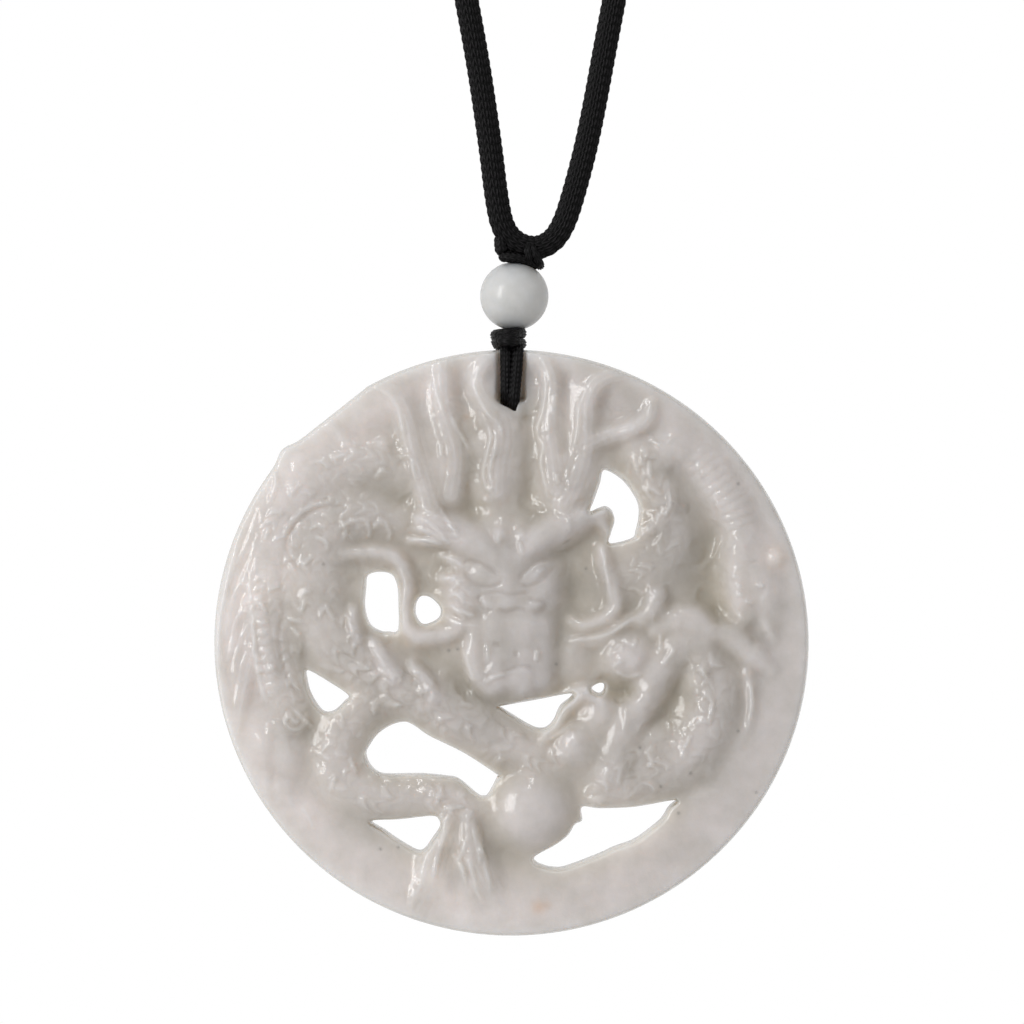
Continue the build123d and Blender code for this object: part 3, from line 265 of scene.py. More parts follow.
# Finer bars: horns, mane, whiskers, toes and hair
LOCKS = [
    Lock("horn_left", ((-27, 46), (-30, 55), (-33, 65), (-35, 75), (-39, 83), (-45, 88)),
         (5.5, 5.5, 5, 5, 5, 3.5), (0.72, 0.71, 0.69, 0.67, 0.63, 0.56)),
    Lock("horn_middle", ((-24, 95), (-23.6, 88), (-23, 80), (-21, 71), (-19, 62), (-20, 50)),
         (4, 5, 5.2, 5.6, 6, 5.5), (0.58, 0.64, 0.66, 0.67, 0.68, 0.69)),
    Lock("curl_left", ((-5, 98), (-10.5, 92), (-11.4, 86), (-8.4, 80), (-4.4, 75), (-3.4, 68), (-4.6, 60),
         (-4.6, 51)), (2.6, 3.8, 4.2, 4.6, 5.6, 6, 6, 5), (0.58, 0.66, 0.69, 0.71, 0.72, 0.72, 0.72, 0.72)),
    Lock("lock_right", ((10, 96), (13, 89), (13.2, 80), (12.4, 72), (13.4, 63), (15, 52)),
         (2.5, 3.8, 3.9, 4.2, 5, 6), (0.58, 0.66, 0.68, 0.7, 0.72, 0.74)),
    Lock("antler", ((18, 46), (22, 55), (24.8, 65), (25.2, 74), (26, 82), (30, 88), (37, 90.5)),
         (7, 6.6, 5, 4.6, 4.6, 4.4, 3), (0.77, 0.76, 0.75, 0.73, 0.7, 0.66, 0.58)),
    Lock("antler_branch", ((24, 65), (31.5, 69), (39.5, 71.5), (45.5, 75), (47, 80.5)),
         (4.4, 4.2, 4, 3.8, 2.6), (0.73, 0.72, 0.7, 0.67, 0.6)),
    Lock("fin", ((52.5, 54), (53.5, 47), (50, 41), (43.5, 36)), (2, 3.4, 3.8, 2), (0.62, 0.7, 0.7, 0.62)),
    Lock("whisker_left", ((-57, 30), (-46, 30.4), (-38.5, 28.5), (-34.8, 21), (-35.4, 13), (-35.2, 6),
         (-31, 2.2), (-24, 2.4), (-16, 5)), (2.4, 3.4, 3.4, 3.1, 2.8, 3.1, 3.8, 4, 3),
         (0.66, 0.69, 0.7, 0.7, 0.7, 0.71, 0.72, 0.73, 0.76)),
    Lock("whisker_right", ((30.4, 32), (31.5, 26), (34, 19), (35.2, 12.5), (31.2, 8), (24, 6), (20, 8)),
         (2, 3, 3.5, 3.6, 3.2, 2.8, 2), (0.67, 0.7, 0.72, 0.71, 0.67, 0.62, 0.56)),
    Lock("whisker_knob", ((48.4, 15.6), (47, 11), (43.6, 8)), (4.8, 5, 4), (0.75, 0.76, 0.72)),
    Lock("strand_right", ((20, 0.8), (27, 1.4), (33, 3.6), (40, 7.6), (45, 9)), (0.8, 1.2, 1.5, 2, 2.2),
         (0.66, 0.72, 0.73, 0.74, 0.74)),
    Lock("strand_low", ((25.5, -1.4), (29, -0.4), (33, 2.4)), (0.8, 1.2, 1), (0.6, 0.65, 0.66)),
    Lock("shoulder_band", ((49, 5), (55, 7), (61, 7), (66, 4)), (4.6, 6.4, 6.4, 5),
         (0.69, 0.705, 0.705, 0.69)),
    Lock("forearm", ((64, 1), (56.6, -1), (49.6, -10), (43.6, -20), (38, -29.5), (34, -38), (31.8, -45)),
         (6.4, 7.6, 7.4, 7.2, 7.2, 6.8, 5), (0.69, 0.73, 0.765, 0.785, 0.79, 0.78, 0.74)),
    Lock("claw_pearl", ((10, -34), (13.5, -28), (17.5, -22), (23, -17), (29, -17)), (1.4, 3, 3.6, 3.6, 3),
         (0.62, 0.7, 0.75, 0.76, 0.72)),
    Lock("flame", ((67, 4), (74, 1.6), (81, -3.4), (88, -10)), (4, 5.6, 5.6, 2.6),
         (0.68, 0.685, 0.66, 0.56)),
    Lock("flame_tip", ((84, 9), (86, 5), (88.5, 1)), (1.4, 2.2, 1.2), (0.6, 0.66, 0.6)),
    Lock("toe_left_1", ((-53, 11), (-52.5, 5), (-51.6, 0)), (2.4, 3.2, 2.6), (0.74, 0.8, 0.78)),
    Lock("toe_left_2", ((-46.5, 1), (-43, -4.5), (-39, -12)), (1.8, 3.4, 4), (0.76, 0.82, 0.82)),
    Lock("toe_left_3", ((-33.5, -6.5), (-29.5, -11.5), (-25.5, -18)), (1.8, 3.2, 3.6), (0.73, 0.8, 0.8)),
    Lock("nail_1", ((-82.5, -45), (-81.5, -50), (-80.5, -53)), (1.4, 1.4, 0.8), (0.64, 0.62, 0.56)),
    Lock("nail_2", ((-78.6, -46), (-77.6, -51), (-76.6, -54)), (1.5, 1.5, 0.8), (0.66, 0.64, 0.56)),
    Lock("nail_3", ((-75.4, -47), (-74.4, -52), (-72.6, -56)), (1.3, 1.3, 0.8), (0.66, 0.62, 0.56)),
    Lock("rim_bit", ((60, -52.2), (64, -51), (68.4, -49.4)), (1.3, 1.6, 1.9), (0.58, 0.6, 0.62)),
    Lock("rim_groove_lip", ((79, -9), (80.3, -17), (79.8, -27), (75, -36)), (1.2, 1.8, 1.8, 0.8),
         (0.57, 0.61, 0.6, 0.54)),
    Lock("left_ridge", ((-88, 26), (-87.6, 12), (-86.5, 1), (-84.5, -9), (-81.5, -20)),
         (0.8, 1, 1.1, 1.1, 0.6), (0.62, 0.66, 0.66, 0.64, 0.58)),
    Lock("arch_ridge", ((-62, 74.5), (-58, 71), (-53.5, 65.5)), (1.4, 2.2, 1.6), (0.62, 0.66, 0.66)),
    Lock("flow_1", ((66, 70), (72, 58), (78.5, 46)), (1.2, 1.6, 1.0), (0.58, 0.6, 0.6)),
    Lock("flow_2", ((75, 62), (83, 49), (88, 39)), (1.2, 1.6, 1.0), (0.55, 0.58, 0.58)),
    Lock("tuft_left", ((-20.6, -57), (-24.4, -66), (-27.4, -76), (-29.6, -84), (-31.6, -90)),
         (4, 6, 7, 6.6, 3.6), (0.68, 0.7, 0.68, 0.64, 0.56)),
    Lock("tuft_right", ((-14.6, -58), (-13.6, -69), (-9.6, -79), (-4.4, -89)), (4, 6, 7.4, 5),
         (0.68, 0.7, 0.67, 0.58)),
]

# Fans of strands: even steps from the first path to the last
Fan = namedtuple("Fan", "name first last count wide high")
FANS = [
    Fan("brow_hair", ((-18, 34), (-26, 34), (-34, 34.6)), ((-18, 40), (-25, 42.5), (-31, 46)),
         4, (2.4, 2.3, 1.0), (0.895, 0.865, 0.78)),
    Fan("cheek", ((-12, 6), (-17, 6.5), (-22, 8.5)), ((-13, 16), (-17, 19), (-20, 21.5)),
         4, (2, 2.2, 1.0), (0.87, 0.85, 0.77)),
    Fan("temple", ((-16, 21), (-20, 21.5), (-24, 22)), ((-16, 26), (-20, 28), (-24, 29.5)),
         2, (2.2, 2.2, 1.0), (0.87, 0.85, 0.78)),
    Fan("rim_hair", ((-84.6, 45), (-88.6, 33), (-94, 23), (-97.4, 10)), ((-86, 2), (-87.6, -9),
         (-90, -18), (-92, -30)), 6, (0.8, 2.0, 2.4, 1.0), (0.56, 0.6, 0.59, 0.53)),
]

# The face: bars first, then the domes on them
FACE = [
    Lock("brow_left", ((-3.6, 27.5), (-8.5, 31.5), (-16, 35.5), (-24, 39), (-30, 41.5)),
         (4, 7, 8, 6.8, 3.6), (0.87, 0.905, 0.905, 0.88, 0.81)),
    Lock("brow_right", ((3, 28.6), (8.5, 34), (15, 38), (22, 41.4), (28, 43.6), (32.4, 44)),
         (4, 7, 7.4, 6.2, 4, 2), (0.87, 0.905, 0.9, 0.86, 0.79, 0.68)),
    Lock("ear_right", ((26, 42), (30, 41), (33.5, 36)), (2.4, 3, 1.6), (0.76, 0.72, 0.62)),
    Lock("bridge", ((-1.4, 31), (-1.4, 24), (-1.6, 17)), (4, 5, 6), (0.875, 0.87, 0.87)),
    Lock("muzzle_left", ((-5.6, 11), (-5.8, 2), (-5, -13)), (8.6, 8.6, 7), (0.86, 0.86, 0.86)),
    Lock("muzzle_right", ((5, 11), (5, 2), (4.6, -13)), (8.4, 8.4, 7.4), (0.86, 0.855, 0.855)),
    Lock("lip", ((-10, 6.6), (-5, 8), (0, 8.2), (6, 8), (10, 6.6)), (3, 3.6, 3.8, 3.6, 3),
         (0.83, 0.86, 0.87, 0.86, 0.83)),
    Lock("jaw_left", ((-12, 6), (-12.6, -3), (-11.4, -11), (-7, -16)), (4.4, 5, 4.6, 3),
         (0.82, 0.83, 0.83, 0.8)),
    Lock("jaw_right", ((9.6, 6), (9.8, -4), (9.4, -12)), (6.8, 7, 6.6), (0.8, 0.8, 0.8)),
    Lock("beard_left", ((-16, -2), (-14.4, -8), (-12, -14)), (1.0, 1.3, 0.8), (0.78, 0.8, 0.79)),
    Lock("teeth", ((-3, -3.4), (1.4, -4), (5.8, -3.4)), (1.3, 1.5, 1.3), (0.865, 0.87, 0.865)),
]

FEATURES = [
    Ball("forehead", -4, 36.4, 3, 3.6, 20, 0.93),
    Ball("forehead_right", 3.4, 36, 2.6, 3, -30, 0.91),
    Ball("nose", -1.2, 13.6, 9, 5.4, 0, 0.915),
    Ball("wing_left", -8.6, 13.4, 3.8, 3.8, 0, 0.905),
    Ball("wing_right", 7.6, 13, 4.8, 3.8, 0, 0.9),
    Ball("eye_left", -10.6, 23.4, 6.6, 3.6, -26, 0.88),
    Ball("eye_right", 8.4, 23.6, 6.8, 3.7, 36, 0.885),
    Ball("nub", 88.6, 28.6, 4.6, 4.2, -20, 0.75),
    Ball("small_ball", 20, -2.6, 2.2, 2.2, 0, 0.68),
    Ball("side_ball", -60, 6.4, 3, 2.6, 0, 0.74),
    Ball("arch_ball", -43.4, 66.4, 4.4, 3.6, 0, 0.64),
    Ball("rim_ball", 66.2, -43, 1.8, 1.8, 0, 0.68),
    Ball("knuckle", 30.5, -19.5, 3.4, 3, 0, 0.76),
]

# Narrow hollows, sunk after the finer forms
HOLLOWS = [
    Mark("hollow_horns", ((-31, 86), (-29.4, 76), (-26.6, 64)), 3.4, 0.075),
    Mark("hollow_middle", ((-17.4, 92), (-16, 82), (-11.4, 71)), 2.3, 0.11),
    Mark("hollow_middle_low", ((-12, 62), (-13.6, 52), (-12, 43)), 2.6, 0.09),
    Mark("hollow_centre", ((5.4, 75), (6.2, 64), (5.8, 50)), 2.2, 0.11),
    Mark("hollow_centre_foot", ((6, 56), (5, 48)), 4.0, 0.075),
    Mark("hollow_lock", ((18.6, 89), (18.4, 78), (18, 65)), 1.5, 0.11),
    Mark("hollow_branch", ((31.5, 80), (36, 79.5), (41.5, 81.5)), 4.4, 0.09),
    Mark("hollow_forearm", ((57, -13), (53.6, -20), (49.6, -28)), 4.4, 0.12),
    Mark("hollow_arm", ((48, -25), (44.8, -31), (41.8, -37), (39.6, -43)), 1.5, 0.05),
    Mark("hollow_cheek", ((24, 29), (22.6, 21), (22, 12)), 4.6, 0.1),
    Mark("hollow_whisker", ((41, 19), (43, 14)), 3.4, 0.06),
    Mark("hollow_throat", ((-27, -4), (-20, -7), (-15.6, -15)), 3.2, 0.08),
    Mark("hollow_jaw", ((18, 2), (18, -6), (18.6, -15)), 3.6, 0.02),
    Mark("hollow_cord", ((-1, 98), (-1.5, 91), (-1.5, 84)), 5.0, 0.11),
    Mark("hollow_cord_right", ((6.4, 90), (6.6, 83), (4.6, 77)), 2.8, 0.09),
    Mark("hollow_oval", ((32, -14.6), (36, -16), (39.4, -16.4)), 2.9, 0.26),
    Mark("hollow_eye_left", ((-16, 27), (-10, 27.4), (-5, 23.5)), 1.0, 0.03),
    Mark("hollow_eye_left_low", ((-15.6, 22.5), (-10, 19.6), (-5, 19.6)), 1.1, 0.04),
    Mark("hollow_eye_right", ((2.8, 22.4), (7, 27.6), (13.4, 28.6)), 1.1, 0.045),
    Mark("hollow_eye_right_low", ((3, 20), (8.6, 19.4), (13, 24.4)), 1.1, 0.045),
    Mark("hollow_nose", ((-12, 10.2), (-4, 9.4), (5, 9.4), (11, 10.8)), 1.1, 0.04),
    Mark("hollow_brows", ((0.6, 42), (-0.4, 37), (-0.2, 33)), 1.5, 0.05),
    Mark("hollow_temple", ((15.6, 30), (19, 24), (19.4, 17)), 2.4, 0.04),
    Mark("hollow_mouth", ((-6, -1.4), (-2, -0.6), (3, -1.4), (6, -1)), 3.4, 0.05),
    Mark("hollow_mouth_low", ((-5, -6.8), (1, -6.4), (6, -6.8)), 1.4, 0.035),
    Mark("hollow_fingers", ((-79.6, -27), (-79.8, -36), (-79.4, -46)), 1.0, 0.06),
    Mark("hollow_tip", ((80, 4), (82.5, 1)), 2.0, 0.07),
    Mark("hollow_tuft", ((-19.8, -70), (-19.6, -78), (-18, -87)), 2.6, 0.1),
    Mark("hollow_knob", ((12, -38), (17, -41), (25, -42.6), (29, -36)), 1.3, 0.05),
]

# Openings cut right through, as closed curves. The cord's is tighter than in the solid: the strands fill it.
HOLES = {
    "tall_left": ((-49, 19), (-48.5, 22.5), (-45, 23.8), (-40.5, 23), (-38.6, 19.5), (-38.1, 13),
        (-38.3, 4.3), (-41.6, 3.7), (-44.3, 4), (-47.7, 6.3), (-49.4, 12)),
    "round_left": ((-31.8, 14), (-30.2, 15.7), (-27.3, 15.2), (-24.4, 12.5), (-23.8, 10.3), (-24.8, 8.1),
        (-28.3, 6.3), (-30.6, 6.6), (-32.2, 9.3), (-32.3, 12)),
    "wedge_left": ((-68.6, -9.3), (-62, -12.9), (-55.1, -17.6), (-56.4, -19.7), (-59.1, -22.4),
        (-61.6, -23.4), (-64.2, -22.4), (-67.5, -17.3), (-68.9, -12.3)),
    "long_left": ((-49, -37.6), (-47.7, -34.5), (-45, -30.8), (-40.6, -27.8), (-35.9, -26.7),
        (-32.5, -28.1), (-27.5, -31.5), (-16, -37.2), (-5.1, -44.3), (-4.9, -45.3), (-7.9, -51),
        (-9.6, -51.7), (-11.6, -51), (-17.7, -46), (-21.7, -45), (-30.2, -44.2), (-38.6, -44.3),
        (-44, -44), (-47.3, -41.6)),
    "wedge_bottom": ((-47, -60.1), (-37.6, -59.5), (-26.8, -58.4), (-24.4, -59.8), (-24.2, -62),
        (-26.4, -65.5), (-30.5, -70.1), (-36.9, -67.2), (-42.6, -63.3)),
    "under_jaw": ((-3.6, -21.4), (7.6, -19.4), (20.4, -17.2), (16.3, -21.4), (14.3, -25.8), (12, -28.3),
        (9.1, -28.8), (5.9, -27.6), (0.5, -24.4), (-3.2, -22)),
    "pin_hole": ((27, -15.3), (29.5, -13.6), (31.2, -14), (30.8, -16.3), (29.1, -17)),
    "crescent_bottom": ((23.8, -55.4), (29.8, -55.8), (41.6, -55.3), (54.7, -53.1), (53, -55.3),
        (51, -58.6), (48.7, -61), (41.6, -66.2), (34.5, -68.9), (29.8, -71.1), (18.7, -75.3), (14, -75.8),
        (9.3, -74.6), (7.5, -72.8), (9.3, -71.1), (14.7, -68.2), (19, -64.9), (21.4, -61.2), (23.8, -59.8)),
    "crescent_top": ((31.2, 58.1), (36.2, 55.8), (39.9, 51.9), (42.6, 47), (42.9, 42.6), (41.9, 37.9),
        (40.6, 35.2), (33.2, 33.5), (33.5, 36.9), (34.7, 40.9), (33.9, 44.3), (31.7, 46), (29.1, 45.3),
        (26.4, 44.3), (27.8, 48), (29.8, 53.7)),
    "cord_hole": ((-3.6, 80.6), (-3.6, 83.4), (-2.8, 84), (1.8, 84), (2.6, 83.4), (2.3, 81), (1.5, 78.8),
        (1.2, 78.0), (-1.0, 79.2), (-3.1, 80.2)),
}

# The rim: the angle from the right side, in degrees, and where its flat band starts
Rim = namedtuple("Rim", "angle start")
RIM_ROWS = [
    Rim(-180, 97), Rim(-160, 95), Rim(-145, 84), Rim(-130, 78), Rim(-110, 78), Rim(-90, 79), Rim(-70, 78),
    Rim(-50, 76), Rim(-35, 78), Rim(-20, 84), Rim(-5, 90), Rim(15, 91), Rim(30, 92), Rim(45, 91),
    Rim(60, 90), Rim(75, 92), Rim(90, 94), Rim(105, 90), Rim(118, 84), Rim(135, 84), Rim(150, 92),
    Rim(180, 97),
]


PATH_STEPS = 7


def smooth_path(points, closed=False):
    """A Catmull-Rom curve through the points."""
    p = np.array(points, float)
    if closed:
        p = np.vstack([p[-1], p, p[0], p[1]])
    else:
        p = np.vstack([2 * p[0] - p[1], p, 2 * p[-1] - p[-2]])
    places = []
    for a, b, c, d in zip(p, p[1:], p[2:], p[3:]):
        for k in range(PATH_STEPS):
            t = k / PATH_STEPS
            bend = (2 * a - 5 * b + 4 * c - d) * t * t + (3 * b - a - 3 * c + d) * t ** 3
            places.append(0.5 * (2 * b + (c - a) * t + bend))
    if not closed:
        places.append(p[-2])
    return np.array(places)


def along(values, share):
    """Values spread evenly along a path, read at a share of it."""
    return np.interp(share, np.linspace(0, 1, len(values)), values)


def nearest(u, v, curve):
    """Distance to a curve, its signed side, and the share and the length of it at the nearest place."""
    best = np.full(u.shape, 1e9)
    side = np.zeros(u.shape)
    share = np.zeros(u.shape)
    run = np.zeros(u.shape)
    travelled = 0.0
    for i, (a, b) in enumerate(zip(curve, curve[1:])):
        s = b - a
        length = math.hypot(*s)
        t = np.clip(((u - a[0]) * s[0] + (v - a[1]) * s[1]) / length ** 2, 0, 1)
        du, dv = u - a[0] - t * s[0], v - a[1] - t * s[1]
        far = np.hypot(du, dv)
        closer = far < best
        best = np.where(closer, far, best)
        side = np.where(closer, np.sign(s[0] * dv - s[1] * du), side)
        share = np.where(closer, (i + t) / (len(curve) - 1), share)
        run = np.where(closer, travelled + t * length, run)
        travelled += length
    return best, side, share, run


def smooth_max(a, b, k):
    """The higher of two heights, with a soft change between them."""
    h = np.clip(0.5 + 0.5 * (a - b) / k, 0, 1)
    return b + (a - b) * h + k * h * (1 - h)


def around(u, v, curve, reach):
    """Which places lie in the box round a curve."""
    low, high = curve.min(0) - reach, curve.max(0) + reach
    return (u > low[0]) & (u < high[0]) & (v > low[1]) & (v < high[1])


def add_stroke(z, u, v, stroke, kind):
    """Raises a rounded bar along a path."""
    curve = smooth_path(stroke.path)
    near = around(u, v, curve, max(stroke.wide) + GRID_STEP)
    far, _, share, _ = nearest(u[near], v[near], curve)
    q = far / along(stroke.wide, share)
    rise = np.clip(1 - q * q, 0, 1) ** kind.crown
    bar = GROUND_SINK + (along(stroke.high, share) - GROUND_SINK) * rise
    z[near] = np.where(q < 1, smooth_max(z[near], bar, kind.melt), z[near])


def add_ball(z, u, v, b, kind):
    """Raises an oval dome."""
    c, s = math.cos(math.radians(b.turn)), math.sin(math.radians(b.turn))
    du, dv = u - b.u, v - b.v
    q = np.hypot((du * c + dv * s) / b.long, (-du * s + dv * c) / b.wide)
    rise = np.clip(1 - q * q, 0, 1) ** kind.crown
    dome = GROUND_SINK + (b.high - GROUND_SINK) * rise
    z[:] = np.where(q < 1, smooth_max(z, dome, kind.melt), z)


def sink_mark(z, u, v, mark):
    """Sinks a soft groove along a path."""
    curve = smooth_path(mark.path)
    near = around(u, v, curve, MARK_REACH * mark.wide)
    far, _, _, _ = nearest(u[near], v[near], curve)
    z[near] -= mark.deep * np.exp(-(far / mark.wide) ** 2)


def fan_strokes(fan):
    """The strokes of a fan: even steps from its first path to its last."""
    for share in np.linspace(0, 1, fan.count):
        path = np.array(fan.first) * (1 - share) + np.array(fan.last) * share
        yield Lock(fan.name, path, fan.wide, fan.high)


def softened(grid, spread):
    """A grid of heights with its forms melted together."""
    reach = math.ceil(3 * spread)
    taps = np.exp(-0.5 * (np.arange(-reach, reach + 1) / spread) ** 2)
    taps /= taps.sum()
    for axis in (0, 1):
        margin = [(reach, reach) if k == axis else (0, 0) for k in (0, 1)]
        padded = np.pad(grid, margin, mode="edge")
        size = grid.shape[axis]
        grid = sum(w * np.take(padded, range(k, k + size), axis) for k, w in enumerate(taps))
    return grid


def pressed(height):
    """A height drawn in towards the middle one, so that the whole relief is as shallow as the stone's."""
    return MIDDLE + DEPTH_SHARE * (height - MIDDLE)


def rim_start(u, v):
    """How far out the rim's flat band starts, by direction."""
    angles = [row.angle for row in RIM_ROWS]
    starts = [row.start for row in RIM_ROWS]
    return np.interp(np.degrees(np.arctan2(v, u)), angles, starts)


def carve_forms():
    """The carving's forms on an even grid: broad ones first, then the finer ones over them."""
    ticks = np.arange(-GRID_REACH, GRID_REACH + GRID_STEP / 2, GRID_STEP)
    u, v = np.meshgrid(ticks, ticks)
    t = np.clip((np.hypot(u, v) - rim_start(u, v) + RIM_SLOPE) / (2 * RIM_SLOPE), 0, 1)
    z = FLOOR + (RIM_CREST - FLOOR) * t * t * (3 - 2 * t)
    for mass in MASSES:
        add_ball(z, u, v, mass, MASS_KIND)
    for pit in PITS:
        sink_mark(z, u, v, pit)
    for coil in COILS:
        add_stroke(z, u, v, coil, COIL_KIND)
    for ball in BALLS:
        add_ball(z, u, v, ball, BALL_KIND)
    broad = softened(z, BROAD_MELT / GRID_STEP)
    z = broad.copy()
    for lock in LOCKS:
        add_stroke(z, u, v, lock, LOCK_KIND)
    for fan in FANS:
        for stroke in fan_strokes(fan):
            add_stroke(z, u, v, stroke, FAN_KIND)
    for bar in FACE:
        add_stroke(z, u, v, bar, FACE_KIND)
    for ball in FEATURES:
        add_ball(z, u, v, ball, FEATURE_KIND)
    for hollow in HOLLOWS:
        sink_mark(z, u, v, hollow)
    return pressed(softened(broad + FINE_SHARE * (z - broad), FINE_MELT / GRID_STEP))


def read_grid(grid, u, v):
    """Heights between the grid's places."""
    column, row = (u + GRID_REACH) / GRID_STEP, (v + GRID_REACH) / GRID_STEP
    i, j = np.floor(row).astype(int), np.floor(column).astype(int)
    a, b = row - i, column - j
    low = grid[i, j] * (1 - b) + grid[i, j + 1] * b
    high = grid[i + 1, j] * (1 - b) + grid[i + 1, j + 1] * b
    return low * (1 - a) + high * a


def rounded_edge(height, room, least, reach):
    """Heights eased down towards an edge, where room is the distance to it."""
    cap = least + (1 - least) * (1 - (1 - np.clip(room / reach, 0, 1)) ** 2) ** EDGE_CURVE
    return -smooth_max(-height, -cap, EDGE_MELT)


def polygon_distance(u, v, curve):
    """Distance to a closed curve, positive inside it."""
    ring = np.vstack([curve, curve[:1]])
    far, _, _, _ = nearest(u, v, ring)
    inside = np.zeros(u.shape, bool)
    for a, b in zip(ring, ring[1:]):
        if a[1] != b[1]:
            crossing = (b[0] - a[0]) * (v - a[1]) / (b[1] - a[1]) + a[0]
            inside ^= ((a[1] > v) != (b[1] > v)) & (u < crossing)
    return np.where(inside, far, -far)


def edge_radius(angle):
    """How far the outline is at an angle in degrees: nearly round, with a flat and a corner."""
    turn = np.radians(angle)
    round_edge = 100 / np.hypot(np.cos(turn), np.sin(turn) / DISC_HEIGHT_RATIO)
    flat = FLAT_AT / np.clip(np.cos(turn - math.radians(FLAT_ANGLE)), 0.5, 1)
    corner = np.exp(-((angle - CORNER_ANGLE) / CORNER_SPREAD) ** 2)
    return np.minimum(round_edge, flat) + CORNER_RISE * corner


def outline_distance(u, v):
    """How far a place is inside the outline."""
    return edge_radius(np.degrees(np.arctan2(v, u))) - np.hypot(u, v)


def hole_distance(u, v, curves):
    """How far a place is outside the nearest hole, counted up to a few hundredths."""
    room = np.full(u.shape, HOLE_REACH)
    for curve in curves:
        near = around(u, v, curve, HOLE_REACH)
        room[near] = np.minimum(room[near], -polygon_distance(u[near], v[near], curve))
    return room


def strand_seat(height, u, v):
    """Heights kept low where the strands lie over the bridge above their hole."""
    outside = np.clip(np.abs(u) - SEAT_HALF, 0, None) + np.clip(SEAT_LOW - v, 0, None)
    cap = SEAT_HIGH + SEAT_SLOPE * outside
    return -smooth_max(-height, -cap, EDGE_MELT)


def relief(forms, u, v, inner, outer):
    """Height of the front, as a share of the thickness, with edges rounded at the outline and the holes."""
    z = strand_seat(read_grid(forms, u, v), u, v)
    z = rounded_edge(z, outer, OUTER_LEAST, OUTER_REACH)
    return rounded_edge(z, inner, INNER_LEAST, INNER_REACH)


# Fine skins over the forms: scales, plates and hair, in the disc's hundredths and shares of its thickness
SCALE_LONG = 4.4
SCALE_WIDE = 5.0
SCALE_HIGH = 0.044
SCALE_WANDER = 1.3
SCALE_TURN = 0.8
SCALE_DRIFT = 0.3
SCALE_CURVE = 0.45
SCALE_FRONT = 0.22
SCALE_LEAST = 0.12
SCALE_SPREAD = 1.1
SCALE_RARE = 2.5
PLATE_LONG = 3.0
PLATE_HIGH = 0.013
HAIR_STEP = 2.1
HAIR_HIGH = 0.008
HAIR_LEAST_WIDE = 3.4
HAIR_WAVE = 7

# How far below a bar's crown its skin goes, as a share of the thickness
SKIN_DROP = 0.06
SKIN_HOLD = 1.8


